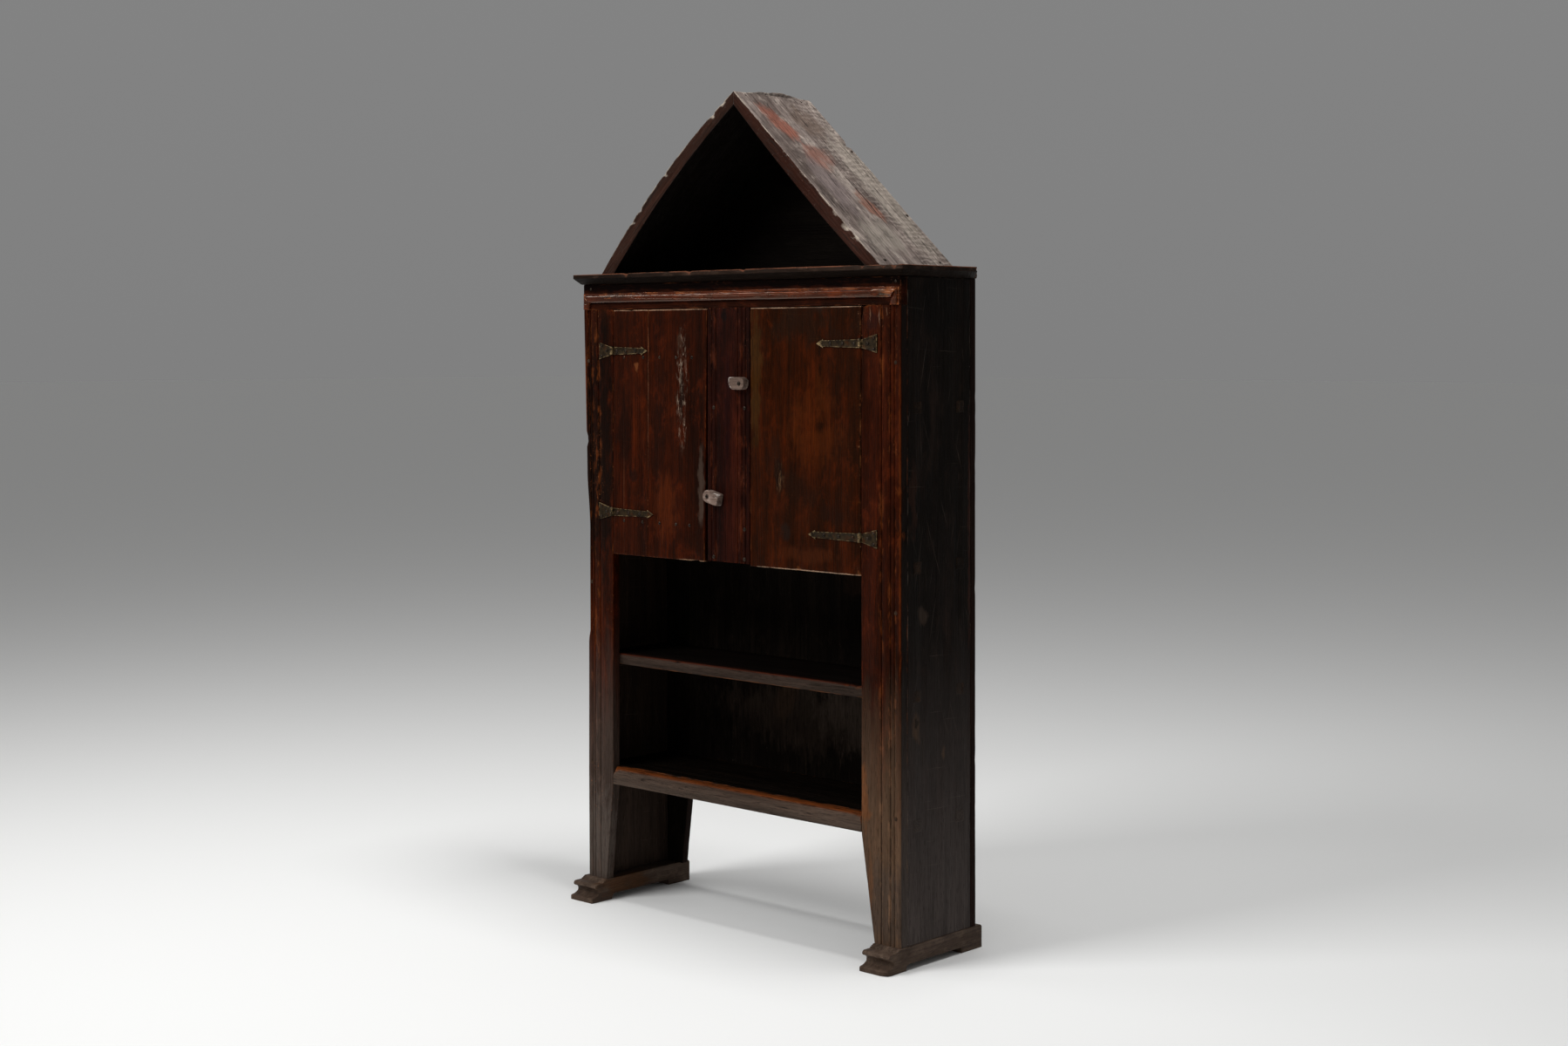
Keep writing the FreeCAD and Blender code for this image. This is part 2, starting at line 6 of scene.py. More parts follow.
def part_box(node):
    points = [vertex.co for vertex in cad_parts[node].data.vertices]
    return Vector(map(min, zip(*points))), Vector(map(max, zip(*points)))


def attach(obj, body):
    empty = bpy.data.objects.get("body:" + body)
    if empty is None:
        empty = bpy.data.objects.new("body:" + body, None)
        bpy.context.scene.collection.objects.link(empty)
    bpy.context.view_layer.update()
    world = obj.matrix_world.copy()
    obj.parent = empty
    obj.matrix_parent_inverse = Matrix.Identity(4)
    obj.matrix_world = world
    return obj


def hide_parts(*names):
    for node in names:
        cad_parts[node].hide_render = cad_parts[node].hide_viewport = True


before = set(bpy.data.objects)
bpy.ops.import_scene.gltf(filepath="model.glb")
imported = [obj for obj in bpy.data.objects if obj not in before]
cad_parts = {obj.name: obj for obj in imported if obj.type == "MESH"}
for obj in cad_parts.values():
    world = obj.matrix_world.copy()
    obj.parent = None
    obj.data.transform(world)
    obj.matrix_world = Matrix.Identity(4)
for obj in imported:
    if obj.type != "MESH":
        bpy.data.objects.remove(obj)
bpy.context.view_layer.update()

noise.seed_set(1)  # noise_vector is seeded by the clock otherwise

# Sled feet: two hardwood runners that stand under the sides, each with a moulded toe of ledge,
# nose, cove and lip, and an arch sawn underneath. The sides are tenoned into them from above.
foot_spans = {"left": (-0.492, -0.417), "right": (0.417, 0.492)}
foot_profile = (
    (0.1635, 0.000, 0), (0.1635, 0.050, 0.0060), (-0.1205, 0.050, 0), (-0.1205, 0.0478, 0), (-0.1245, 0.0478, 0),
    (-0.1245, 0.0454, 0), (-0.1290, 0.0454, 0), (-0.1290, 0.0430, 0), (-0.1545, 0.0430, 0.0062),
    (-0.1545, 0.0335, 0.0040), (-0.1400, 0.0280, 0.0060), (-0.1400, 0.0185, 0.0060), (-0.1510, 0.0125, 0.0030),
    (-0.1635, 0.0105, 0.0030), (-0.1635, 0.000, 0), (-0.0975, 0.000, 0), (-0.0975, 0.013, 0.0100),
    (0.0915, 0.013, 0.0030), (0.0915, 0.000, 0),
)


def drawn(corners, reach):
    """A face through the corners, drawn out along reach into a solid."""
    shape = bmesh.new()
    face = shape.faces.new([shape.verts.new(corner) for corner in corners])
    made = bmesh.ops.extrude_face_region(shape, geom=[face])["geom"]
    bmesh.ops.translate(shape, vec=reach, verts=[v for v in made if isinstance(v, bmesh.types.BMVert)])
    bmesh.ops.recalc_face_normals(shape, faces=shape.faces)
    return shape


def eased(shape, radius, chosen, segments=4, along=None):
    """Rounds the edges between points that the test picks, or those of them that run along one axis."""
    edges = [e for e in shape.edges if all(chosen(v.co) for v in e.verts)]
    if along is not None:
        edges = [e for e in edges if abs(e.verts[1].co[along] - e.verts[0].co[along]) > 1e-6]
    bmesh.ops.bevel(
        shape, geom=edges, offset=radius, offset_type="OFFSET", segments=segments, profile=0.5,
        affect="EDGES", clamp_overlap=True, material=-1,
    )


def cut_across(shape, place, facing, **kept):
    """Cuts a piece by a plane, and gives the cut's edges and corners."""
    parts = shape.verts[:] + shape.edges[:] + shape.faces[:]
    return bmesh.ops.bisect_plane(shape, geom=parts, dist=1e-6, plane_co=place, plane_no=facing, **kept)["geom_cut"]


def worn(
    shape, number, arris=0.0015, fine=0.012, chip=0.0015, sway=0.0005, reach=0.008, blunt=None, bend=None, sliced="",
    rubbed=None,
):
    """Ages a piece: its sharp arrises are rubbed round, its faces cut finer, then bowed, chipped and rubbed.

    The piece keeps how near each point is to an arris as "wear", and its own number as "board". The axes in sliced
    are cut by planes, for a piece whose faces have many corners.
    """
    shape.normal_update()
    sharp = [e for e in shape.edges if e.is_manifold and e.calc_face_angle() > 0.5]
    bare = [e for e in sharp if rubbed is None or all(rubbed(v.co) for v in e.verts)]
    lines = np.array([[v.co[:] for v in e.verts] for e in bare])
    bmesh.ops.bevel(
        shape, geom=[e for e in sharp if blunt is None or blunt(*e.verts)], offset=arris, offset_type="OFFSET",
        segments=2, profile=0.5, affect="EDGES", clamp_overlap=False, material=-1,
    )
    corners = np.array([v.co[:] for v in shape.verts])
    for axis in range(3):
        low, high = corners[:, axis].min() + 3 * arris, corners[:, axis].max() - 3 * arris
        count = max(2, round((high - low) / fine) + 1) if "XYZ"[axis] in sliced else 2
        for place in np.linspace(low, high, count):
            facing = Vector([n == axis for n in range(3)])
            cut_across(shape, place * facing, facing)
    for axis in range(3):
        runs = {}
        for edge in shape.edges:
            run = edge.verts[1].co - edge.verts[0].co
            if run.length > 1.5 * fine and abs(run[axis]) > 0.9999 * run.length:
                runs.setdefault(round(run.length / fine), []).append(edge)
        for cuts, edges in runs.items():
            bmesh.ops.subdivide_edges(shape, edges=edges, cuts=cuts - 1, use_grid_fill=True)
    points = np.array([v.co[:] for v in shape.verts])
    nearest = np.full(len(points), 1.0)
    for start, end in lines:
        along = end - start
        share = np.clip((points - start) @ along / max(along @ along, 1e-12), 0, 1)
        nearest = np.minimum(nearest, np.linalg.norm(points - start - share[:, None] * along, axis=1))
    wear = shape.verts.layers.float.new("wear")
    board = shape.verts.layers.float.new("board")
    if bend:
        for vert in shape.verts:
            vert.co = bend(vert.co)
    bmesh.ops.recalc_face_normals(shape, faces=shape.faces)
    shape.normal_update()
    own = Vector((3.1, 7.7, 5.3)) * number
    moves = []
    for vert, gap in zip(shape.verts, nearest):
        near = max(0.0, 1 - gap / reach)
        bite = max(0.0, noise.noise(vert.co * 26 + own) - 0.3) + 0.4 * max(0.0, noise.noise(vert.co * 90 + own) - 0.3)
        moves.append(vert.normal * (sway * noise.noise(vert.co * 4 + own) - chip * bite * near))
        vert[wear] = max(0.0, 1 - gap / (0.55 * reach))
        vert[board] = number
    for vert, move in zip(shape.verts, moves):
        vert.co += move
    return shape


def dented(shape, centre, radius, push, bare=0.8):
    """Knocks a ragged dent or chip into a piece and lays it bare."""
    wear = shape.verts.layers.float["wear"]
    centre, push = Vector(centre), Vector(push)
    for vert in shape.verts:
        off = (vert.co - centre).length / radius * (1 + 0.5 * noise.noise(vert.co * 120))
        if off < 1:
            vert[wear] = max(vert[wear], bare * (1 - off * off))
            vert.co += push * (1 - off * off) ** 2
    return shape


def placed(shape, name, body, slot, finish, *nodes):
    """Makes the piece, with its finish, the body that it moves with and the CAD nodes that it stands for."""
    mesh = bpy.data.meshes.new(name)
    shape.to_mesh(mesh)
    shape.free()
    mesh.shade_smooth()
    mesh.set_sharp_from_angle(angle=math.radians(40))
    mesh.materials.append(finish)
    piece = bpy.data.objects.new(name, mesh)
    bpy.context.collection.objects.link(piece)
    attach(piece, body)
    if nodes:
        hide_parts(*nodes)
    return piece


def tint(tone, by=1.0):
    """A colour given as sRGB bytes, in the linear values that sockets take."""
    levels = [min(255, by * c) for c in tone]
    return [((c / 255 + 0.055) / 1.055) ** 2.4 if c > 10 else c / 3294.6 for c in levels] + [1]


def node(tree, kind, inputs=(), **settings):
    """A shader node whose inputs are linked or set."""
    made = tree.nodes.new("ShaderNode" + kind)
    for key, value in settings.items():
        setattr(made, key, value)
    for socket, value in dict(inputs).items():
        if isinstance(value, bpy.types.NodeSocket):
            tree.links.new(value, made.inputs[socket])
        else:
            made.inputs[socket].default_value = value
    return made


def speckle(where, scale, detail=3.0, rough=0.55, twist=0.0):
    """Noise about a half, at a number of features to the metre."""
    settings = {"Vector": where, "Scale": scale, "Detail": detail, "Roughness": rough, "Distortion": twist}
    return node(where.id_data, "TexNoise", settings).outputs["Fac"]


def spread(value, low, high, start=0.0, end=1.0):
    """A value stretched from one range to another, and held inside it."""
    ranges = {"Value": value, "From Min": low, "From Max": high, "To Min": start, "To Max": end}
    return node(value.id_data, "MapRange", ranges).outputs["Result"]


def sum_of(first, second=0.0, how="ADD"):
    return node(first.id_data, "Math", {0: first, 1: second}, operation=how).outputs[0]


def times(first, second):
    return sum_of(first, second, "MULTIPLY")


def blended(share, under, over, how="MIX"):
    tree = next(value.id_data for value in (share, under) if isinstance(value, bpy.types.NodeSocket))
    return node(tree, "Mix", {0: share, 6: under, 7: over}, data_type="RGBA", blend_type=how).outputs[2]


def stretched(where, along, share):
    """Coordinates drawn out along the grain."""
    scale = [share if c == along else 1 for c in "XYZ"]
    return node(where.id_data, "Mapping", {"Vector": where, "Scale": scale}).outputs[0]


def spot(here, centre, size, ragged=0.0):
    """A soft ragged patch: one at its middle and none at its rim."""
    tree = here.id_data
    if ragged:
        drift = node(tree, "TexNoise", {"Vector": here, "Scale": 0.35 / ragged, "Detail": 4.0}).outputs["Color"]
        drift = node(tree, "VectorMath", {0: drift, 1: (0.5, 0.5, 0.5)}, operation="SUBTRACT").outputs[0]
        scaled = {0: drift, 1: [2 * ragged] * 3, 2: here}
        here = node(tree, "VectorMath", scaled, operation="MULTIPLY_ADD").outputs[0]
    off = node(tree, "VectorMath", {0: here, 1: centre}, operation="SUBTRACT").outputs[0]
    off = node(tree, "VectorMath", {0: off, 1: size}, operation="DIVIDE").outputs[0]
    length = node(tree, "VectorMath", {0: off}, operation="LENGTH").outputs["Value"]
    return spread(length, 1.0, 0.35)


def old_wood(
    name, along, dark, middle, light, bare, gloss=0.42, wax=0.0, polish=0.05, fade=None, stains=(), scuffs=0.0,
    rough=1.0, cracks=0.0, faces=(), ripples=0.0, slope=0.0, torn=None, edge=0.6, broken=(0.44, 0.66), streaks=0.3,
):
    """Old stained wood: fibres and figure along the grain, pores, grime, rubbed arrises, scratches and stains.

    fade is (colour, height where it is full, height where it ends); a stain is (centre, size, colour, share, ragged);
    a face is (axis, sign, colour, share) for what shows only on the sides that look that way, with the colour that it
    fades to if that differs; slope turns the grain about Y, and torn is (centre, size, colour) of splintered lines.
    edge is how bare the arrises are rubbed, and broken the two levels of the noise that breaks the rubbing up;
    streaks is how strongly the fibres show, and ripples how strongly the adze marks do.
    """
    wood = bpy.data.materials.new(name)
    wood.use_nodes = True
    tree = wood.node_tree
    shader = tree.nodes["Principled BSDF"]
    here = node(tree, "TexCoord").outputs["Object"]
    number = node(tree, "Attribute", attribute_name="board").outputs["Fac"]
    own = node(tree, "CombineXYZ", {"X": number, "Y": number, "Z": number}).outputs[0]
    turned = node(tree, "Mapping", {"Vector": here, "Rotation": (0, slope, 0)}).outputs[0] if slope else here
    own = node(tree, "VectorMath", {0: own, 1: (3.1, 7.7, 5.3), 2: turned}, operation="MULTIPLY_ADD").outputs[0]
    fibres = stretched(own, along, 0.05)
    figure = speckle(fibres, 26, 5.0, 0.6, 0.5)
    streak = speckle(fibres, 240, 4.0, 0.62, 0.2)
    pores = speckle(stretched(own, along, 0.08), 620, 1.0)
    cloud = speckle(stretched(own, along, 0.5), 8, 5.0, 0.66)
    patch = speckle(stretched(own, along, 0.35), 60, 5.0, 0.7)

    ramp = node(tree, "ValToRGB", {"Fac": figure})
    ramp.color_ramp.elements[0].position, ramp.color_ramp.elements[0].color = 0.34, tint(dark)
    ramp.color_ramp.elements[1].position, ramp.color_ramp.elements[1].color = 0.68, tint(light)
    ramp.color_ramp.elements.new(0.51).color = tint(middle)
    colour = ramp.outputs["Color"]
    rings = sum_of(times(speckle(fibres, 6, 2.0, 0.5, 0.6), 34.0), how="FRACT")
    rings = spread(rings, 0.45, 0.97)
    colour = blended(times(rings, 0.45), colour, tint(dark))
    colour = blended(spread(cloud, 0.49, 0.70, 0.0, 0.85), colour, tint(dark))
    varnish = speckle(stretched(own, along, 0.6), 30, 5.0, 0.7, 0.3)
    colour = blended(spread(varnish, 0.52, 0.66, 0.0, 0.5), colour, tint(dark, 0.72))
    colour = blended(spread(varnish, 0.46, 0.34, 0.0, 0.5), colour, tint(light, 1.12))

    def figured(tone, depth):
        """A tone that the grain's figure darkens."""
        return blended(spread(figure, 0.35, 0.68), tint(tone, depth), tint(tone))

    if fade:
        tone, full, end = fade
        height = node(tree, "SeparateXYZ", {0: here}).outputs["Z"]
        height = sum_of(height, spread(figure, 0.3, 0.7, -0.14, 0.14))
        faded = figured(tone, 0.72)
        weathered = spread(height, end, full, 0.0, 0.94)
        colour = blended(weathered, colour, faded)
    for centre, size, tone, share, ragged in stains:
        mask = sum_of(spot(here, centre, size, ragged), spread(patch, 0.3, 0.7, -0.4, 0.4))
        colour = blended(spread(mask, 0.4, 0.9, 0.0, share), colour, tint(tone))
    if ripples:
        waves = {"Vector": own, "Scale": 19.0, "Distortion": 9.0}
        waves |= {"Detail": 4.0, "Detail Scale": 1.6, "Detail Roughness": 0.7}
        rear = spread(node(tree, "SeparateXYZ", {0: here}).outputs["Y"], -0.06, 0.07, -0.25, 0.15)
        bands = times(node(tree, "TexWave", waves).outputs["Fac"], spread(sum_of(cloud, rear), 0.4, 0.66))
        blotch = speckle(own, 40, 7.0, 0.75, 0.6)
        colour = blended(spread(blotch, 0.5, 0.68, 0.0, 0.6), colour, tint(dark, 0.62))
        colour = blended(spread(bands, 0.35, 0.95, 0.0, ripples), colour, tint(light, 1.28))
    for axis, sign, tone, share, *low_tone in faces:
        looks = node(tree, "SeparateXYZ", {0: node(tree, "NewGeometry").outputs["Normal"]}).outputs[axis]
        start, full = (-0.3, -0.6) if (axis, sign) == ("Z", -1) else (0.78 * sign, 0.96 * sign)
        looks = spread(looks, start, full, 0.0, share)
        over = figured(tone, 0.62)
        if low_tone:
            over = blended(weathered, over, figured(low_tone[0], 0.72))
        colour = blended(looks, colour, over)
    light_and_dark = spread(streak, 0.3, 0.7, 1 - streaks, 1 + streaks)
    shade = node(tree, "CombineXYZ", {"X": light_and_dark, "Y": light_and_dark, "Z": light_and_dark}).outputs[0]
    colour = blended(1.0, colour, shade, "MULTIPLY")
    colour = blended(spread(pores, 0.58, 0.7, 0.0, 0.5), colour, tint(dark, 0.5))
    if cracks:
        split = speckle(stretched(own, along, 0.035), 58, 3.0, 0.5, 0.3)
        split = sum_of(sum_of(split, 0.5, "SUBTRACT"), how="ABSOLUTE")
        split = times(spread(split, 0.002, 0.022, 1.0, 0.0), spread(patch, 0.46, 0.6))
        colour = blended(times(split, cracks), colour, tint(dark, 0.35))
    if scuffs:
        place = node(tree, "SeparateXYZ", {0: own})
        across, up = sum_of(place.outputs["X"], place.outputs["Y"]), place.outputs["Z"]
        for turn, apart in ((0.06, 64), (-0.22, 40), (0.34, 34), (1.52, 58)):
            side_step = sum_of(times(up, math.sin(turn)), times(across, math.cos(turn)))
            run = sum_of(times(up, math.cos(turn)), times(across, -math.sin(turn)))
            line = sum_of(times(side_step, apart), times(cloud, 0.5))
            line = spread(sum_of(line, how="FRACT"), 0.0, 0.035, 1.0, 0.0)
            kept = node(tree, "CombineXYZ", {"X": side_step, "Y": times(run, 0.09), "Z": 0.0}).outputs[0]
            line = times(line, spread(speckle(kept, 1.7 * apart, 2.0), 0.58, 0.74))
            colour = blended(times(line, scuffs), colour, tint(bare))
    if torn:
        centre, size, tone = torn
        line = speckle(stretched(own, along, 0.22), 150, 5.0, 0.7, 1.2)
        line = times(spread(line, 0.52, 0.66), spread(patch, 0.36, 0.56))
        scar = times(line, spot(here, centre, size, 0.016))
        colour = blended(scar, colour, tint(tone))
    wear = node(tree, "Attribute", attribute_name="wear").outputs["Fac"]
    rubbed = spread(times(wear, spread(patch, *broken)), 0.25, 0.95)
    if fade:
        colour = blended(
            times(rubbed, edge), colour,
            blended(weathered, tint(bare), tint(fade[0], 1.3)),
        )
    else:
        colour = blended(times(rubbed, edge), colour, tint(bare))
    flecks = times(spread(speckle(own, 210, 2.0), 0.64, 0.70), spread(cloud, 0.5, 0.62))
    flecks = times(flecks, spread(wear, 0.0, 1.0, 0.03, 0.5))
    colour = blended(flecks, colour, tint([40 + c for c in bare]))
    tree.links.new(colour, shader.inputs["Base Color"])

    sheen = sum_of(spread(cloud, 0.3, 0.7, gloss - 0.1, gloss + 0.14), times(rubbed, 0.12))
    tree.links.new(sheen, shader.inputs["Roughness"])
    height = sum_of(sum_of(streak, figure), sum_of(sum_of(pores, rings), patch, "SUBTRACT"), "SUBTRACT")
    if cracks:
        height = sum_of(height, times(split, cracks), "SUBTRACT")
    if ripples:
        height = sum_of(height, times(bands, 0.4))
    bump = node(tree, "Bump", {"Height": height, "Strength": 0.55, "Distance": 0.0009 * rough})
    tree.links.new(bump.outputs["Normal"], shader.inputs["Normal"])
    shader.inputs["Specular IOR Level"].default_value = polish
    shader.inputs["Specular Tint"].default_value = (1, 0.74, 0.54, 1)
    shader.inputs["Coat Weight"].default_value = wax
    shader.inputs["Coat Roughness"].default_value = 0.3
    return wood


foot_finish = old_wood(
    "foot_oak", "Y", (58, 45, 37), (72, 58, 49), (88, 73, 62), (124, 107, 92), gloss=0.44, polish=0.1,
    cracks=0.3, rough=0.4, edge=0.5,
    stains=(((-0.42, -0.05, 0.03), (0.03, 0.13, 0.05), (74, 44, 20), 0.7, 0.02),),
)
for side, (x0, x1) in foot_spans.items():
    runner = drawn([(x0, y, z) for y, z, _ in foot_profile], (x1 - x0, 0, 0))
    for y, z, radius in foot_profile:
        if radius > 0.002:
            eased(runner, radius, lambda co: abs(co.y - y) < 1e-5 and abs(co.z - z) < 1e-5)
    runner = worn(
        runner, 1 if side == "left" else 2, arris=0.0010, fine=0.008, chip=0.0005, sway=0.0003, reach=0.004,
        sliced="YZ",
    )
    if side == "right":
        dented(runner, (0.492, -0.162, 0.002), 0.014, (-0.004, 0.004, 0.002), 0.4)
    else:
        dented(runner, (-0.417, -0.152, 0.043), 0.012, (-0.003, 0.003, -0.002))
    placed(runner, side + "_runner", "carcass", "foot_wood", foot_finish, side + "_foot")

# Side boards: one wide plank on each side, stained near black and scuffed, with the ends of the
# shelves' through tenons showing as paler squares. The left one leans in a little towards its foot.
side_back, side_front = 0.1245, -0.0915
side_foot, side_top = 0.050, 1.471
body_half, inner_half = 0.490, 0.462
side_spans = {"left": (-body_half, -inner_half), "right": (inner_half, body_half)}
tenon_depths = (-0.058, 0.088)
tenon_heights = (0.3005, 0.577, 0.850, 1.191)


def board(low, high, shape=None):
    """A squared board between two corners."""
    shape = shape or bmesh.new()
    middle = (Vector(low) + Vector(high)) / 2
    size = Vector(high) - Vector(low)
    bmesh.ops.create_cube(shape, size=1, matrix=Matrix.LocRotScale(middle, None, size))
    return shape


def leaning(co):
    """The left side stands out under the top board and comes in towards the foot."""
    lean = float(np.interp(co.z, (0.050, 0.310, 0.620, 1.060, 1.400), (0.008, 0.006, 0.006, -0.001, -0.0115)))
    hold = min(1.0, max(0.0, (-0.40 - co.x) / 0.062))
    return co + Vector((lean * hold, 0, 0))


side_stains = {
    "left": (),
    "right": (
        ((0.49, -0.062, 0.513), (0.06, 0.026, 0.050), (66, 50, 38), 0.75, 0.012),
        ((0.49, -0.062, 0.520), (0.06, 0.011, 0.020), (16, 13, 12), 0.9, 0.006),
        ((0.49, 0.030, 0.445), (0.06, 0.012, 0.022), (86, 66, 50), 0.5, 0.008),
        ((0.49, -0.040, 0.745), (0.06, 0.022, 0.035), (60, 48, 40), 0.55, 0.015),
        ((0.49, -0.075, 1.000), (0.06, 0.020, 0.150), (42, 24, 17), 0.6, 0.020),
        ((0.49, 0.020, 1.420), (0.06, 0.130, 0.120), (9, 9, 9), 0.6, 0.030),
        ((0.49, 0.121, 0.900), (0.06, 0.007, 0.420), (52, 27, 20), 0.7, 0.006),
    ),
}
inner_tone = (54, 40, 31)
for side, (x0, x1) in side_spans.items():
    number = 3 if side == "left" else 4
    side_finish = old_wood(
        side + "_side_black_stain", "Z", (9, 7, 6), (17, 12, 10), (28, 19, 15), (108, 96, 86), gloss=0.5, scuffs=0.85,
        streaks=0.24, fade=((76, 68, 65), 0.12, 0.70), cracks=0.35, stains=side_stains[side],
        faces=(("X", 1 if side == "left" else -1, inner_tone, 0.85),),
    )
    plank = worn(
        board((x0, side_front, side_foot), (x1, side_back, side_top)), number, arris=0.0015, fine=0.014, chip=0.002,
        bend=leaning,
    )
    placed(plank, side + "_side_plank", "carcass", "side_wood", side_finish, side + "_side_board")

tenon_finish = old_wood(
    "tenon_end_grain", "X", (14, 10, 8), (26, 18, 13), (44, 30, 21), (6, 5, 4), gloss=0.55, rough=1.6, edge=0.9,
    fade=((76, 68, 64), 0.12, 0.70),
)
for side, x in (("left", -0.4866), ("right", 0.4866)):
    tenons = bmesh.new()
    for y in tenon_depths:
        for z in tenon_heights:
            board((x - 0.004, y - 0.0135, z - 0.013), (x + 0.004, y + 0.0135, z + 0.013), tenons)
    tenons = worn(tenons, 5, arris=0.0008, fine=0.0045, chip=0.0022, sway=0.0004, reach=0.006, bend=leaning)
    placed(tenons, side + "_tenon_ends", "carcass", "side_wood", tenon_finish)

# Front stiles: hardwood posts pegged to the edges of the sides, with a worked bead and grooves near
# the outer edge. Below the bottom shelf they narrow to legs. The stain has faded grey towards the floor.
stile_front, stile_back = -0.1135, -0.0915
stile_foot, stile_top, leg_top = 0.050, 1.410, 0.280
groove_half = 0.0017


def groove_plan(place, half, depth):
    """The four corners of a worked groove, from its far side."""
    floor = stile_front + depth
    return [(place + half, stile_front), (place + 0.0006, floor), (place - 0.0006, floor), (place - half, stile_front)]


def on_front(x, z, width, height, tone, share, ragged):
    """A stain on the cupboard's front."""
    return (x, stile_front, z), (width, 0.02, height), tone, share, ragged


stiles = {
    "left": (-body_half, -1, 0.092, 0.067, (0.0147, 0.0239, 0.0451)),
    "right": (body_half, 1, 0.110, 0.073, (0.0176, 0.0286, 0.0539)),
}
stile_fades = {"left": ((68, 55, 48), 0.40, 0.70), "right": ((108, 82, 62), 0.24, 0.56)}
stile_stains = {
    "left": (
        ((-0.45, stile_front, 1.08), (0.10, 0.05, 0.56), (13, 5, 3), 0.94, 0.02),
        ((-0.46, stile_front, 0.14), (0.12, 0.04, 0.20), (78, 69, 63), 0.8, 0.02),
        on_front(-0.455, 1.000, 0.05, 0.016, (16, 8, 6), 0.5, 0.01),
        on_front(-0.494, 1.12, 0.008, 0.34, (92, 42, 18), 0.8, 0.003),
    ),
    "right": (
        on_front(0.487, 0.95, 0.005, 0.52, (84, 36, 10), 0.7, 0.003),
        on_front(0.41, 1.375, 0.03, 0.035, (30, 13, 12), 0.6, 0.01),
        ((0.45, stile_front, 0.13), (0.12, 0.04, 0.16), (66, 54, 46), 0.8, 0.02),
        ((0.385, stile_front, 0.36), (0.024, 0.03, 0.10), (112, 66, 34), 0.6, 0.02),
        ((0.405, stile_front, 0.17), (0.012, 0.03, 0.13), (98, 64, 40), 0.6, 0.01),
        on_front(0.404, 1.392, 0.0022, 0.024, (110, 80, 60), 0.6, 0.006),
        on_front(0.430, 1.380, 0.0026, 0.030, (116, 90, 72), 0.6, 0.006),
        on_front(0.452, 1.396, 0.0026, 0.016, (104, 76, 58), 0.6, 0.006),
    ),
}
for side, (outer, turn, width, leg, grooves) in stiles.items():
    stile_finish = old_wood(
        side + "_stile_red_stain", "Z", (27, 7, 2), (49, 14, 3), (70, 25, 7), (118, 58, 22), gloss=0.4, scuffs=0.2,
        streaks=0.24, fade=stile_fades[side], cracks=0.3, stains=stile_stains[side],
        faces=(("X", turn, (18, 13, 11), 0.95, (70, 62, 58)),),
    )
    plan = [(0, stile_back), (width, stile_back), (width, stile_front)]
    for groove in reversed(grooves):
        plan += groove_plan(groove, groove_half, 0.0024)
    plan += [(0, stile_front)]
    post = drawn([(outer - turn * u, y, stile_foot) for u, y in plan], (0, 0, stile_top - stile_foot))

    def front_at(*places):
        """Picks the front's points at distances from the stile's outer edge."""
        return lambda co: abs(co.y - stile_front) < 1e-6 and min(abs((outer - co.x) * turn - u) for u in places) < 1e-6

    outer_groove, inner_groove, far_groove = [(u - groove_half, u + groove_half) for u in grooves]
    eased(post, 0.0032, front_at(0), along=2)
    eased(post, 0.0026, front_at(outer_groove[1], inner_groove[0]), 3, along=2)
    eased(post, 0.0010, front_at(outer_groove[0], inner_groove[1], *far_groove), 2, along=2)

    def legged(co):
        """Narrows the post inside its grooves to the leg; the left one leans, with a hollow worn in its edge."""
        down = max(0.0, (leg_top - co.z) / (leg_top - stile_foot))
        hold = grooves[2] + 0.003
        u = (outer - co.x) * turn
        if u > hold:
            u = hold + (u - hold) * (width + (leg - width) * down - hold) / (width - hold)
        elif side == "left" and u < 0.013:
            heights, depths = (0.620, 0.640, 0.895, 0.940, 0.980, 1.010), (0, 0.0056, 0.0095, 0.0064, 0.0023, 0)
            u += float(np.interp(co.z, heights, depths)) * (1 - u / 0.013)
        return leaning(Vector((outer - turn * u, co.y, co.z)))

    post = worn(
        post, 6 if side == "left" else 7, arris=0.0016, fine=0.013, chip=0.0016, sway=0.0004, bend=legged,
        blunt=lambda a, b: a.co.z != b.co.z and abs((outer - a.co.x) * turn - width) < 1e-5,
    )
    if side == "right":
        for z, radius in ((1.015, 0.020), (0.985, 0.014), (0.925, 0.024), (0.66, 0.012), (1.205, 0.010)):
            dented(post, (body_half, stile_front, z), radius, (-0.0035, 0.0035, 0))
        dented(post, (0.385, stile_front, 1.404), 0.022, (0.002, 0.003, -0.003))
    else:
        dented(post, (-0.400, stile_front, 0.70), 0.020, (-0.003, 0.003, 0))
        dented(post, (-0.488, stile_front, 1.10), 0.016, (0.003, 0.003, 0))
    placed(post, side + "_front_post", "carcass", "front_wood", stile_finish, side + "_front_stile")

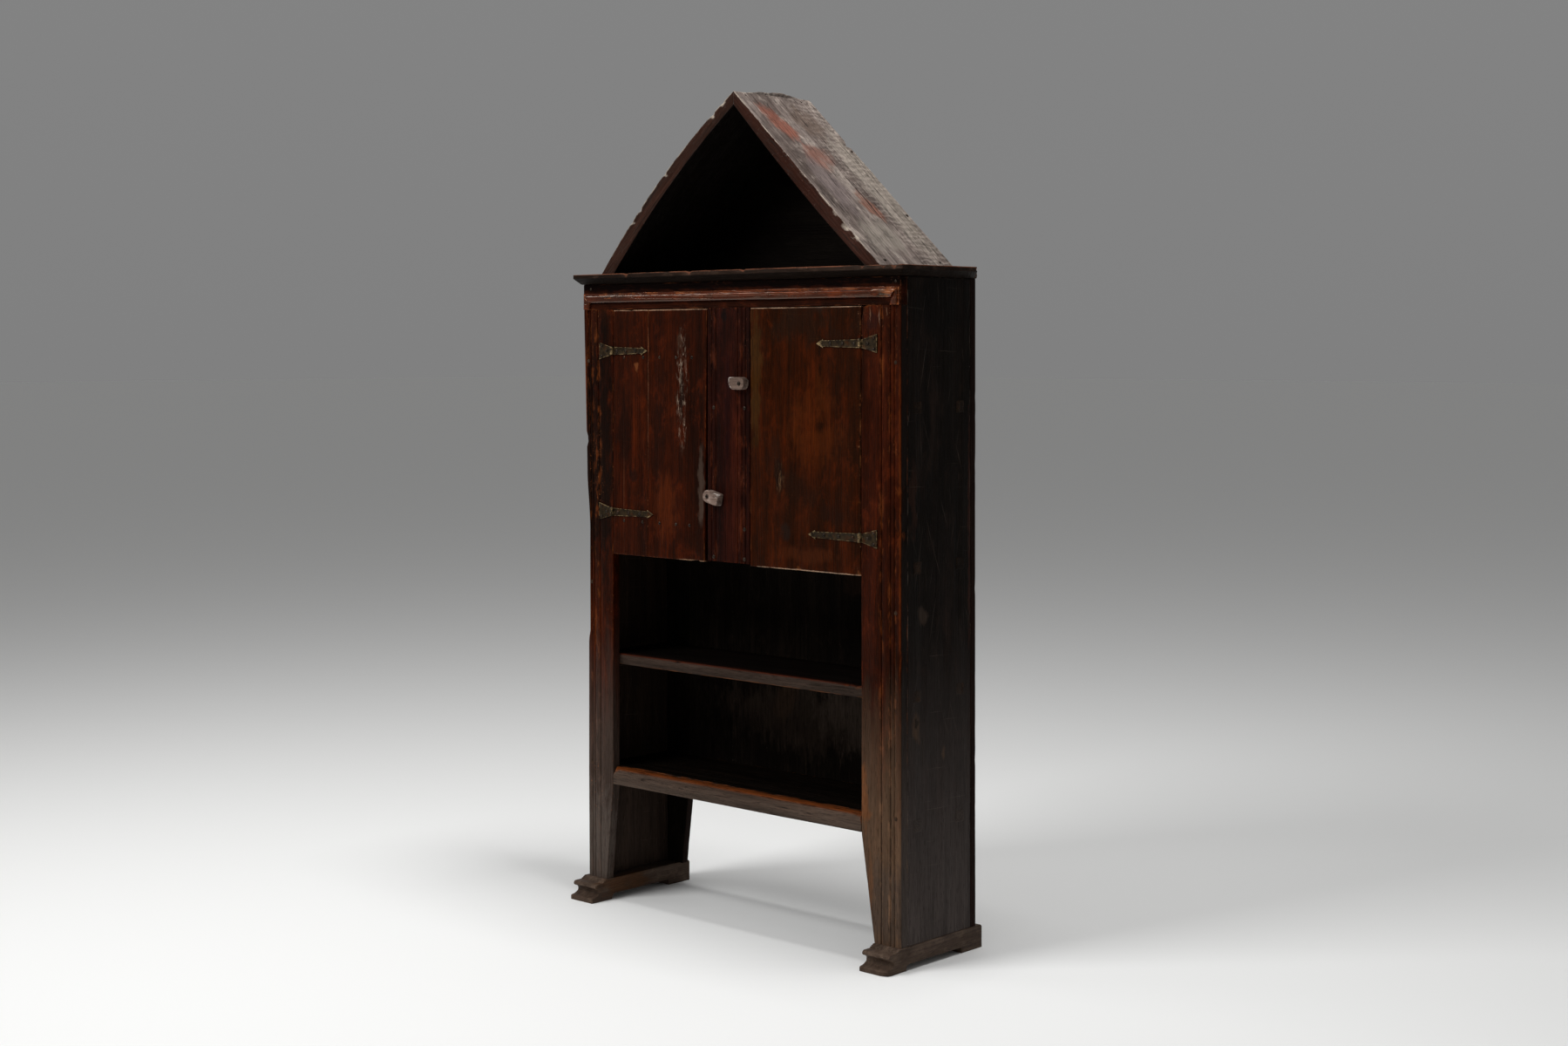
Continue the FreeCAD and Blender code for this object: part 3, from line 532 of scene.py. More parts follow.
# Rear stiles and back boards: rough planks of unequal widths, nailed over the back between two
# stiles that also narrow to legs. Inside they are stained dark; behind they were left to dry grey.
rear_front, rear_back = 0.1245, 0.1435
back_finish = old_wood(
    "back_boards", "Z", (8, 6, 5), (14, 10, 8), (24, 18, 14), (58, 46, 38), gloss=0.6, polish=0.04, cracks=0.8,
    faces=(("X", 1, (34, 17, 13), 0.8), ("Y", 1, (92, 76, 62), 0.93)), rough=1.5,
    stains=(
        ((0.02, rear_front, 0.46), (0.48, 0.04, 0.13), (46, 37, 31), 0.7, 0.05),
        ((0.20, rear_front, 0.48), (0.26, 0.04, 0.13), (66, 56, 49), 0.55, 0.06),
        ((0.27, rear_front, 0.46), (0.10, 0.04, 0.08), (74, 64, 56), 0.45, 0.05),
        ((0.20, rear_front, 0.78), (0.14, 0.04, 0.06), (34, 22, 15), 0.7, 0.04),
        ((-0.06, rear_front, 0.49), (0.05, 0.04, 0.10), (52, 38, 28), 0.6, 0.03),
    ),
)
for side, outer, turn in (("left", -body_half, -1), ("right", body_half, 1)):
    inner = outer - turn * 0.115

    def rear_legged(co):
        down = max(0.0, (leg_top - co.z) / (leg_top - stile_foot))
        return leaning(Vector((outer + (co.x - outer) * (1 - down * 0.26), co.y, co.z)))

    rear = board((min(outer, inner), rear_front, stile_foot), (max(outer, inner), rear_back, side_top))
    rear = worn(rear, 8 if side == "left" else 9, fine=0.015, chip=0.003, sway=0.0007, bend=rear_legged)
    placed(rear, side + "_rear_post", "carcass", "inner_wood", back_finish, side + "_rear_stile")
for number in range(1, 7):
    name = "back_board_%d" % number
    low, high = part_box(name)
    plank = board((low[0] - 0.0007, low[1], low[2]), (high[0] + 0.0007, high[1], high[2]))
    plank = worn(plank, 10 + number, arris=0.0012, fine=0.016, chip=0.002, sway=0.0005)
    placed(plank, "back_plank_%d" % number, "carcass", "inner_wood", back_finish, name)

# Shelves: four planks let into the sides. The two open ones show their front arris, rubbed to bare
# orange wood; the bottom one is thicker and comes forward between the stiles, its front weathered grey.
shelf_finish = old_wood(
    "shelf_boards", "X", (10, 7, 6), (18, 13, 10), (30, 21, 15), (112, 66, 36), gloss=0.5, cracks=0.6,
    faces=(("Y", -1, (60, 48, 41), 0.92), ("Z", 1, (9, 6, 5), 0.9)), rough=1.3, broken=(0.36, 0.6),
    stains=(((0.0, stile_back, 0.592), (3.0, 0.030, 0.014), (66, 26, 12), 0.95, 0.008),),
)
low_shelf_finish = old_wood(
    "bottom_shelf_board", "X", (6, 4, 3), (10, 7, 5), (18, 12, 8), (132, 72, 34), gloss=0.4, cracks=0.9,
    faces=(("Y", -1, (88, 73, 63), 0.94),), rough=4.0, edge=0.7, broken=(0.42, 0.62),
    stains=(((0.0, stile_front, 0.321), (3.0, 0.034, 0.04), (92, 45, 17), 0.95, 0.010),),
)
for number, name in enumerate(("upper_shelf", "cupboard_floor", "middle_shelf")):
    low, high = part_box(name)
    shelf = board((-inner_half, low[1], low[2]), (inner_half, high[1], high[2]))
    eased(shelf, 0.0065, lambda co: co.y < 0 and co.z > (low[2] + high[2]) / 2)
    shelf = worn(shelf, 20 + number, arris=0.0015, fine=0.014, chip=0.0028, sway=0.0006)
    if name == "middle_shelf":
        for x, radius in ((0.350, 0.022), (0.372, 0.018), (0.322, 0.012), (-0.20, 0.012)):
            dented(shelf, (x, stile_back, 0.590), radius, (0, 0.004, -0.003), 0.6)
    placed(shelf, name + "_plank", "carcass", "inner_wood", shelf_finish, name)
low_shelf_foot, low_shelf_top = leg_top, 0.321
low_shelf = board((-inner_half, stile_back, low_shelf_foot), (inner_half, rear_front, low_shelf_top))
low_shelf = worn(low_shelf, 24, fine=0.014, chip=0.0015, sway=0.0006)
nosing = board((-0.3978, stile_front, low_shelf_foot), (0.3798, -0.0914, low_shelf_top))
eased(nosing, 0.0105, lambda co: co.y < -0.113 and co.z > 0.32)
nosing = worn(nosing, 25, arris=0.0014, fine=0.008, chip=0.0034, sway=0.0010, rubbed=lambda co: co.z > 0.3)
dented(nosing, (0.378, stile_front, 0.318), 0.020, (-0.004, 0.003, -0.003), 0.7)
dented(nosing, (-0.395, stile_front, 0.316), 0.018, (0.003, 0.003, -0.003), 0.7)
placed(nosing, "bottom_shelf_nosing", "carcass", "inner_wood", low_shelf_finish)
placed(low_shelf, "bottom_shelf_plank", "carcass", "inner_wood", low_shelf_finish, "bottom_shelf")

# Top rail: a board across the front whose frieze is painted near black as the top board's shadow, and under it a
# planted moulding of fillet and torus, polished red, that is mitred at both corners and dies into the stiles like a
# picture frame.
rail_finish = old_wood(
    "rail_dark_red_painted_shadow", "X", (22, 7, 4), (38, 13, 5), (56, 21, 8), (150, 88, 52), gloss=0.5, polish=0.02, edge=0.4,
    # Painted shadow: a near-black band over the frieze, where the top board's overhang shades it.
    stains=(((0.0, stile_front, 1.467), (3.0, 0.03, 0.024), (6, 2, 2), 1.0, 0.002),),
)
moulding_finish = old_wood(
    "moulding_polished_red", "X", (40, 11, 3), (63, 20, 4), (92, 35, 7), (184, 104, 52), gloss=0.15, polish=0.6,
    rough=0.25, scuffs=0.1, edge=0.6, broken=(0.42, 0.60),
    stains=(
        ((-0.40, -0.118, 1.437), (0.09, 0.03, 0.02), (40, 18, 12), 0.7, 0.02),
        ((0.445, -0.118, 1.432), (0.030, 0.03, 0.018), (40, 32, 27), 0.9, 0.01),
    ),
)
rail = board((-body_half, stile_front, stile_top), (body_half, stile_back, side_top))
rail = worn(rail, 30, arris=0.0012, fine=0.012, chip=0.0016, bend=leaning)
placed(rail, "rail_board", "carcass", "front_wood", rail_finish, "top_rail")
moulding_foot, moulding_top, moulding_end = 1.4105, 1.449, 0.487
moulding_profile = (
    (0.000, 0.0015), (0.000, -0.0035), (0.0046, -0.0035), (0.0046, -0.0088), (0.0228, -0.0088), (0.0228, 0.0015),
)


def mitred(shape, corner, slope, keep_over):
    """Cuts a moulding through at a mitre and closes the cut."""
    cut = cut_across(shape, corner, slope, clear_inner=keep_over, clear_outer=not keep_over)
    bmesh.ops.edgeloop_fill(shape, edges=[e for e in cut if isinstance(e, bmesh.types.BMEdge)])
    return shape


def on_nose(co):
    return abs(co.y - stile_front + 0.0088) < 1e-5


length = drawn(
    [(-moulding_end, stile_front + y, moulding_top - drop) for drop, y in moulding_profile], (2 * moulding_end, 0, 0),
)
eased(length, 0.0078, on_nose, 5, along=0)
for end in (-1, 1):
    mitred(length, (end * moulding_end, 0, moulding_top), (-end, 0, 1), True)
length = worn(length, 31, arris=0.0005, fine=0.011, chip=0.0022, sway=0.0005, reach=0.004, bend=leaning)
for x, radius, depth in ((0.452, 0.020, 0.006), (0.437, 0.013, 0.005), (-0.395, 0.012, 0.003), (0.11, 0.010, 0.002)):
    dented(length, (x, -0.121, 1.437), radius, (0, depth, -0.001), 0.9)
placed(length, "rail_moulding", "carcass", "front_wood", moulding_finish)
for end, side in ((-1, "left"), (1, "right")):
    plan = [(end * (moulding_end - drop), stile_front + y, moulding_foot) for drop, y in moulding_profile]
    strip = drawn(plan, (0, 0, moulding_top - moulding_foot))
    eased(strip, 0.0078, on_nose, 5, along=2)
    mitred(strip, (end * moulding_end, 0, moulding_top), (-end, 0, 1), False)
    strip = worn(strip, 32 + end, arris=0.0005, fine=0.008, chip=0.003, sway=0.0004, reach=0.004, bend=leaning)
    if end > 0:
        dented(strip, (0.470, -0.121, 1.432), 0.018, (0, 0.006, -0.002), 0.9)
    placed(strip, side + "_moulding_return", "carcass", "front_wood", moulding_finish)

# Top board: one wide plank that oversails the front and sides, bevelled underneath, with a bright
# rubbed front arris, crumbling edges near the right eave and a rounded corner behind.
top_finish = old_wood(
    "top_board", "X", (22, 14, 10), (38, 26, 20), (58, 43, 35), (146, 88, 62), gloss=0.46, cracks=0.9, rough=1.6,
    edge=0.75, broken=(0.26, 0.5), faces=(("Z", 1, (34, 27, 23), 0.6), ("Z", -1, (16, 9, 6), 0.85)),
)
slab_half, slab_front, lip_foot, slab_top = 0.514, -0.1375, 1.485, 1.495
slab = board((-slab_half, slab_front, side_top), (slab_half, rear_back, slab_top))
cut_across(slab, (0, 0, lip_foot), (0, 0, 1))


def bevelled_under(co):
    """Draws the underside in below the lip."""
    down = min(1.0, max(0.0, (lip_foot - co.z) / 0.014))
    inset = 0.020 * down
    narrowed = co.x * (slab_half - (inset if co.x > 0 else 0.4 * inset)) / slab_half
    return Vector((narrowed, co.y + inset * (rear_back - co.y) / 0.281, co.z))


slab = worn(
    slab, 34, arris=0.0016, fine=0.010, chip=0.0030, sway=0.0009, reach=0.005, bend=bevelled_under,
    rubbed=lambda co: co.z > 1.49,
)
dented(slab, (slab_half, rear_back, 1.489), 0.030, (-0.012, -0.012, 0))
for x, radius in ((0.46, 0.012), (0.40, 0.010), (0.49, 0.014), (-0.12, 0.010), (0.05, 0.008), (-0.33, 0.009)):
    dented(slab, (x, slab_front, 1.494), radius, (0, 0.004, -0.003), 0.5)
placed(slab, "top_slab", "carcass", "side_wood", top_finish, "top_board")

# Roof: two thick planks that meet at the ridge, the left one bowed. The slopes are weathered pale
# and dusty over adze marks; the front ends stay reddish, with a bright chipped arris, and the
# undersides inside the niche are painted near black as the niche's shade.
roof_depth = (stile_front, rear_back)
roof_length, roof_thick, roof_bow = 0.593, 0.030, 0.022
ridge, inner_ridge = Vector((0, 1.900)), Vector((0, 1.869))
slopes = {
    "right": ((0.433, slab_top), (0.390, slab_top), (0.0, 0.0), (-0.693, -0.721), 0.007),
    "left": ((-0.439, slab_top), (-0.396, slab_top), (-0.678, 0.735), (-0.687, 0.727), 0.016),
}
roof_stains = {
    "right": (
        ((0.08, -0.05, 1.83), (0.11, 0.050, 0.09), (126, 76, 62), 0.8, 0.05),
        ((0.17, -0.01, 1.74), (0.08, 0.05, 0.08), (122, 82, 70), 0.7, 0.05),
        ((0.28, 0.03, 1.63), (0.07, 0.03, 0.07), (118, 74, 58), 0.75, 0.04),
        ((0.25, 0.110, 1.67), (0.36, 0.070, 0.36), (140, 131, 120), 0.6, 0.03),
        ((0.24, -0.045, 1.68), (0.16, 0.055, 0.16), (114, 102, 100), 0.7, 0.02),
        ((0.36, -0.02, 1.56), (0.10, 0.10, 0.08), (134, 126, 116), 0.6, 0.03),
        ((0.07, 0.06, 1.84), (0.10, 0.07, 0.08), (94, 78, 68), 0.6, 0.03),
        ((0.24, 0.030, 1.67), (0.22, 0.0035, 0.22), (48, 38, 34), 0.9, 0.003),
        ((0.30, 0.052, 1.62), (0.10, 0.0030, 0.10), (52, 42, 38), 0.8, 0.003),
    ),
    "left": (
        ((-0.30, 0.00, 1.68), (0.14, 0.09, 0.12), (94, 80, 72), 0.7, 0.03),
        ((-0.12, 0.08, 1.82), (0.12, 0.06, 0.10), (146, 134, 122), 0.6, 0.03),
        ((-0.38, 0.09, 1.58), (0.08, 0.06, 0.09), (138, 128, 118), 0.6, 0.03),
        ((-0.22, -0.06, 1.75), (0.10, 0.05, 0.08), (112, 84, 72), 0.5, 0.03),
        ((-0.25, 0.045, 1.74), (0.20, 0.0035, 0.20), (48, 38, 34), 0.9, 0.003),
    ),
}
roof_finishes = {
    side: old_wood(
        "roof_weathered_painted_shade_" + side, "X", (86, 75, 70), (120, 108, 102), (152, 141, 132), (196, 182, 166), gloss=0.68,
        cracks=0.9, rough=2.2, ripples=ripples, slope=slope, edge=0.8, broken=(0.34, 0.58), streaks=0.36,
        # The downward faces, inside the niche, are painted near black as painted shade.
        faces=(("Y", -1, end_tone, 0.97), ("Y", 1, (70, 54, 44), 0.9), ("Z", -1, (8, 6, 5), 0.99)),
        stains=roof_stains[side],
    )
    for side, slope, ripples, end_tone in (
        ("right", math.radians(-43.1), 0.2, (50, 21, 12)), ("left", math.radians(42.7), 0.06, (46, 21, 12)),
    )
}
roof_chips = {
    "right": ((0.29, 0.012, 0.004), (0.215, 0.018, 0.007), (0.16, 0.012, 0.004), (0.55, 0.007, 0.002)),
    "left": (
        (0.27, 0.009, 0.002), (0.33, 0.012, 0.003), (0.52, 0.008, 0.002), (0.86, 0.012, 0.003), (0.93, 0.009, 0.002),
    ),
}
for side, (eave, inner_eave, outer_rise, inner_rise, belly) in slopes.items():
    eave, inner_eave = Vector(eave), Vector(inner_eave)

    def on_slope(co):
        """Bends a flat plank to the slope, from the eave to the ridge."""
        share = co.x / roof_length
        arch = 4 * share * (1 - share)
        outer = eave.lerp(ridge, share) + Vector(outer_rise) * (roof_bow * arch)
        inner = inner_eave.lerp(inner_ridge, share) + Vector(inner_rise) * (belly * arch)
        at = inner.lerp(outer, co.z / roof_thick)
        return Vector((at.x, co.y, at.y))

    plank = board((0, roof_depth[0], 0), (roof_length, roof_depth[1], roof_thick))
    plank = worn(
        plank, 36 if side == "right" else 37, arris=0.0016, fine=0.0095, chip=0.0016, sway=0.0010, reach=0.006,
        bend=on_slope, rubbed=lambda co: co.z > roof_thick / 2,
    )
    for share, radius, depth in roof_chips[side]:
        at = on_slope(Vector((share * roof_length, roof_depth[0], roof_thick)))
        dented(plank, at, radius, ((0.4 if side == "left" else -0.4) * depth, depth, -0.5 * depth), 1.0)
    if side == "right":
        at = on_slope(Vector((0.72 * roof_length, roof_depth[1], roof_thick)))
        dented(plank, at, 0.012, (-0.002, -0.006, -0.003), 0.2)
    else:
        for y, rise in ((-0.02, 0.006), (0.03, 0.008), (0.07, 0.005)):
            dented(plank, (0, y, 1.899), 0.045, (0.002, 0, rise), 0.3)
    placed(plank, side + "_roof_plank", "carcass", "roof_wood", roof_finishes[side], side + "_roof_board")

# Gable panel: a board that closes the niche behind, cut to the undersides of the roof planks and
# nailed in between them. Inside it is painted near black as the niche's shade; outside it is grey.
gable_finish = old_wood(
    # The near-black colours are painted shade for the inside of the niche; the grey face is the outside.
    "gable_panel", "X", (4, 3, 3), (6, 5, 4), (10, 8, 7), (30, 24, 20), gloss=0.62, polish=0.03, cracks=0.6, rough=1.4,
    faces=(("Y", 1, (88, 73, 60), 0.93),),
)
outline = []
for side, shares in (("left", range(0, 12)), ("right", range(12, -1, -1))):
    _, inner_eave, _, inner_rise, belly = slopes[side]
    for step in shares:
        share = step / 12
        at = Vector(inner_eave).lerp(inner_ridge, share) + Vector(inner_rise) * (belly * 4 * share * (1 - share))
        outline.append((at.x, rear_front, at.y))
gable = worn(drawn(outline, (0, rear_back - rear_front, 0)), 40, arris=0.001, fine=0.02, chip=0.001, sliced="XZ")
placed(gable, "gable_panel", "carcass", "roof_wood", gable_finish, "gable_back")

# Middle post: a purple-red board between the doors with reeded strips on both sides, nailed to the
# shelves behind. A three-cornered notch at its top is painted on as a dark patch of shade.
muntin_left, muntin_right, muntin_foot, muntin_top = -0.082, 0.050, 0.833, 1.410
muntin_grooves = (-0.0690, -0.0556, 0.0130, 0.0262, 0.0380)
muntin_finish = old_wood(
    "middle_post_stain_and_painted_shade", "Z", (18, 4, 3), (33, 8, 4), (47, 15, 8), (90, 40, 20), gloss=0.42,
    scuffs=0.2, cracks=0.5,
    stains=(
        on_front(-0.02, 1.18, 0.016, 0.22, (20, 6, 8), 0.6, 0.008),
        # Painted shade: a near-black patch at the top stands for the notch.
        on_front(-0.03, 1.390, 0.018, 0.022, (12, 6, 6), 0.95, 0.002),
        on_front(0.01, 1.00, 0.03, 0.30, (58, 20, 9), 0.5, 0.01),
    ),
)
plan = [(muntin_left, stile_front), (muntin_left, stile_back), (muntin_right, stile_back), (muntin_right, stile_front)]
for groove in reversed(muntin_grooves):
    plan += groove_plan(groove, 0.0016, 0.002)
post = drawn([(x, y, muntin_foot) for x, y in plan], (0, 0, muntin_top - muntin_foot))


def by_groove(co):
    """Picks the front's points at both sides of each groove."""
    return abs(co.y - stile_front) < 1e-6 and min(abs(abs(co.x - g) - 0.0016) for g in muntin_grooves) < 1e-6


eased(post, 0.0016, by_groove, 2, along=2)
post = worn(
    post, 41, arris=0.0014, fine=0.012, chip=0.0016, sway=0.0003,
    blunt=lambda a, b: a.co.z != b.co.z and min(abs(a.co.x - muntin_left), abs(a.co.x - muntin_right)) < 1e-5,
)
placed(post, "middle_post", "carcass", "front_wood", muntin_finish, "center_muntin")

# Doors: the left one is two boards nailed to two battens behind, with a pale seam, a torn scar and a
# grey rubbed streak; the right one is a single wide board with an olive edge, a dark head and knots.
door_foot, door_top = 0.829, 1.4085
left_door_finish = old_wood(
    "left_door_stain_and_painted_highlights", "Z", (24, 6, 2), (44, 12, 2), (64, 21, 4), (124, 66, 32), gloss=0.38, scuffs=0.2, streaks=0.2,
    cracks=0.5,
    stains=(
        on_front(-0.104, 1.000, 0.017, 0.140, (66, 52, 44), 0.8, 0.012),
        on_front(-0.2779, 1.200, 0.0017, 0.300, (150, 104, 78), 0.75, 0.0),
        on_front(-0.3600, 1.000, 0.0012, 0.250, (104, 62, 40), 0.5, 0.0),
        # Painted highlights: thin pale lines along the door's top and bottom edges.
        on_front(-0.2400, 1.4078, 0.300, 0.0026, (156, 124, 100), 0.8, 0.0),
        on_front(-0.1300, 0.8298, 0.080, 0.0030, (146, 116, 92), 0.8, 0.0),
        on_front(-0.165, 1.210, 0.016, 0.110, (24, 13, 9), 0.9, 0.016),
        on_front(-0.176, 1.330, 0.018, 0.035, (52, 34, 24), 0.7, 0.016),
        on_front(-0.315, 1.276, 0.012, 0.016, (104, 58, 30), 0.8, 0.012),
        on_front(-0.36, 1.120, 0.040, 0.14, (20, 7, 4), 0.75, 0.02),
        on_front(-0.33, 1.015, 0.030, 0.03, (20, 8, 5), 0.7, 0.02),
        on_front(-0.22, 0.950, 0.07, 0.11, (74, 29, 8), 0.6, 0.03),
    ),
    torn=((-0.166, stile_front, 1.235), (0.021, 0.02, 0.170), (170, 150, 130)),
)
right_door_finish = old_wood(
    "right_door_stain_and_painted_highlights", "Z", (24, 7, 1), (43, 13, 1), (62, 21, 3), (124, 72, 36), gloss=0.38, scuffs=0.2, streaks=0.2,
    cracks=0.4,
    stains=(
        on_front(0.068, 1.25, 0.026, 0.24, (58, 36, 12), 0.65, 0.012),
        # Painted highlights: thin pale lines along the door's top and bottom edges.
        on_front(0.2100, 1.4078, 0.300, 0.0026, (166, 136, 112), 0.85, 0.0),
        on_front(0.2400, 0.8298, 0.300, 0.0030, (156, 130, 108), 0.85, 0.0),
        on_front(0.22, 1.375, 0.22, 0.090, (30, 14, 6), 0.8, 0.04),
        on_front(0.25, 1.14, 0.12, 0.17, (72, 29, 5), 0.5, 0.04),
        on_front(0.136, 1.041, 0.024, 0.050, (20, 9, 5), 0.9, 0.016),
        on_front(0.120, 1.080, 0.050, 0.080, (30, 13, 6), 0.6, 0.02),
        on_front(0.162, 0.913, 0.026, 0.026, (28, 16, 11), 0.9, 0.016),
        on_front(0.30, 0.960, 0.05, 0.05, (28, 11, 5), 0.6, 0.02),
        on_front(0.21, 1.02, 0.10, 0.06, (32, 13, 5), 0.5, 0.03),
        on_front(0.22, 0.868, 0.15, 0.034, (62, 26, 8), 0.6, 0.03),
    ),
    torn=((0.140, stile_front, 1.028), (0.020, 0.02, 0.045), (84, 60, 40)),
)
left_seam = (-0.2782, -0.2776)


def slanted(co):
    """The left door's free edge draws in towards its foot."""
    down = (door_top - co.z) / (door_top - door_foot)
    share = max(0.0, (co.x - left_seam[1]) / (-0.0845 - left_seam[1]))
    return Vector((co.x - 0.008 * down * share, co.y, co.z))


for number, (name, x0, x1) in enumerate((("outer", -0.3965, left_seam[0]), ("inner", left_seam[1], -0.0845))):
    leaf = board((x0, stile_front, door_foot), (x1, stile_back, door_top))
    leaf = worn(leaf, 44 + number, arris=0.0013, fine=0.011, chip=0.0018, sway=0.0004, bend=slanted)
    if name == "inner":
        for z, radius in ((1.30, 0.014), (1.25, 0.012), (1.21, 0.015), (1.16, 0.012), (1.12, 0.009)):
            dented(leaf, (-0.168 + 0.05 * (1.25 - z), stile_front, z), radius, (0, 0.0018, 0), 0.45)
        dented(leaf, (-0.12, stile_front, door_foot), 0.014, (0, 0.003, 0.003))
    else:
        dented(leaf, (-0.34, stile_front, door_top), 0.012, (0, 0.002, -0.002))
    placed(leaf, "left_door_%s_leaf" % name, "left_door", "front_wood", left_door_finish, "left_door_%s_board" % name)
batten_finish = old_wood(
    "door_battens", "X", (22, 12, 8), (40, 22, 14), (60, 36, 23), (100, 66, 42), gloss=0.5, wax=0.05,
    cracks=0.6, rough=1.4,
)
for number, name in enumerate(("left_door_upper_batten", "left_door_lower_batten")):
    batten = worn(board(*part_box(name)), 46 + number, arris=0.003, fine=0.012, chip=0.002)
    placed(batten, name + "_bar", "left_door", "front_wood", batten_finish, name)
right_edge = 0.3785
leaf = board((0.0525, stile_front, door_foot), (right_edge, stile_back, door_top))
leaf = worn(leaf, 48, arris=0.0013, fine=0.011, chip=0.0020, sway=0.0004)
for x, z, radius in (
    (right_edge, 1.20, 0.014), (right_edge, 1.11, 0.016), (right_edge, 0.985, 0.012), (right_edge, 0.905, 0.014),
    (0.370, door_foot, 0.020), (0.20, door_foot, 0.012), (0.11, door_foot, 0.010),
    (right_edge, 1.40, 0.014), (0.26, door_top, 0.010),
):
    dented(leaf, (x, stile_front, z), radius, (-0.0015, 0.0032, 0), 0.95)
placed(leaf, "right_door_leaf", "right_door", "front_wood", right_door_finish, "right_door_board")

# Strap hinges: hammered iron plates, a flared leaf nailed to each stile and a long strap with a spear
# tip on the door, joined by a pin through three knuckles. Dark bronze, with bright brassy edges.
hinge_front = -0.1183
plate_front, plate_start, barrel_half = -0.1165, 0.0051, 0.0093


def old_iron(name, dark, middle, bright, gloss=0.45, metal=0.8):
    """Hammered iron: a mottled dull skin, rubbed bright on its arrises."""
    iron = bpy.data.materials.new(name)
    iron.use_nodes = True
    tree = iron.node_tree
    shader = tree.nodes["Principled BSDF"]
    here = node(tree, "TexCoord").outputs["Object"]
    mottle = speckle(here, 110, 4.0, 0.65)
    pits = speckle(here, 420, 2.0, 0.6)
    wear = node(tree, "Attribute", attribute_name="wear").outputs["Fac"]
    colour = blended(spread(mottle, 0.36, 0.64), tint(dark), tint(middle))
    rust = spread(speckle(here, 60, 3.0), 0.55, 0.68, 0.0, 0.5)
    colour = blended(rust, colour, tint((middle[0] + 20, middle[1] - 4, max(0, middle[2] - 16))))
    rubbed = spread(times(wear, spread(mottle, 0.35, 0.65)), 0.2, 0.8)
    colour = blended(rubbed, colour, tint(bright))
    tree.links.new(colour, shader.inputs["Base Color"])
    tree.links.new(spread(mottle, 0.3, 0.7, gloss - 0.1, gloss + 0.15), shader.inputs["Roughness"])
    beaten = sum_of(speckle(here, 70, 1.0), times(pits, 0.3))
    bump = node(tree, "Bump", {"Height": beaten, "Strength": 0.5, "Distance": 0.0008})
    tree.links.new(bump.outputs["Normal"], shader.inputs["Normal"])
    shader.inputs["Metallic"].default_value = metal
    shader.inputs["Specular IOR Level"].default_value = 0.2
    return iron


def plate(x, z, turn, corners):
    """A flat plate with a bevelled border, from points of reach from the hinge's axis and height."""
    corners = [(x + turn * reach, stile_front, z + rise) for reach, rise in corners]
    shape = drawn(corners, (0, plate_front - stile_front, 0))
    shape.normal_update()
    front = [f for f in shape.faces if f.normal.y < -0.9]
    bmesh.ops.inset_region(shape, faces=front, thickness=0.0019, depth=-0.0006, use_even_offset=True)
    return shape


def rod(shape, centre, length, radius, tip=None, segments=16, turned=None):
    """A round rod, upright unless turned."""
    bmesh.ops.create_cone(
        shape, cap_ends=True, segments=segments, radius1=radius, radius2=tip or radius, depth=length,
        matrix=Matrix.LocRotScale(centre, turned, None),
    )


def knuckled(shape, x, z, turn, levels):
    """Adds knuckles about the axis, each with the arm that joins it to its plate."""
    for level in levels:
        at = z + level * 0.0063
        rod(shape, (x, hinge_front, at), 0.006, 0.0045, segments=20)
        x0, x1 = sorted((x, x + turn * plate_start))
        board((x0, plate_front, at - 0.0029), (x1 + 1e-4, stile_front, at + 0.0029), shape)
    return shape


hinge_finish = old_iron("hinge_bronzed_iron", (26, 18, 8), (50, 37, 18), (152, 128, 90), metal=0.5)
pin_finish = old_iron("hinge_pin_iron", (22, 18, 15), (44, 36, 29), (120, 108, 90))
hinges = {
    "left_upper": (-0.39725, 1.312, -1, 0.118), "left_lower": (-0.39725, 0.929, -1, 0.138),
    "right_upper": (0.37925, 1.328, 1, 0.127), "right_lower": (0.37925, 0.911, 1, 0.150),
}
plate_wear = dict(arris=0.0005, fine=0.005, chip=0.0008, sway=0.0002, reach=0.0034)
for number, (name, (x, z, turn, length)) in enumerate(hinges.items()):
    door = name.split("_")[0] + "_door"
    leaf = plate(x, z, turn, [
        (plate_start, -barrel_half), (0.046, -0.020), (0.046, 0.020), (plate_start, barrel_half),
    ])
    leaf = worn(knuckled(leaf, x, z, turn, (-1, 1)), 50 + number, **plate_wear)
    placed(leaf, name + "_leaf_plate", "carcass", "hinge_iron", hinge_finish, name + "_hinge_leaf")
    tip = length - 0.020
    strap = plate(x, z, -turn, [
        (plate_start, -barrel_half), (tip, -0.0065), (tip, -0.010), (length, 0), (tip, 0.010), (tip, 0.0065),
        (plate_start, barrel_half),
    ])
    strap = worn(knuckled(strap, x, z, -turn, (0,)), 55 + number, **plate_wear)
    placed(strap, name + "_strap_plate", door, "hinge_iron", hinge_finish, name + "_hinge_strap")
    pin = bmesh.new()
    barrel_top = z + barrel_half
    for radius, low, high in ((0.0020, z - barrel_half, barrel_top), (0.0034, barrel_top, barrel_top + 0.0015)):
        rod(pin, (x, hinge_front, (low + high) / 2), high - low, radius)
    pin = worn(pin, 60 + number, arris=0.0004, fine=0.004, chip=0.0003, sway=0.0, reach=0.002)
    placed(pin, name + "_pin", "carcass", "hinge_iron", pin_finish, name + "_hinge_pin")

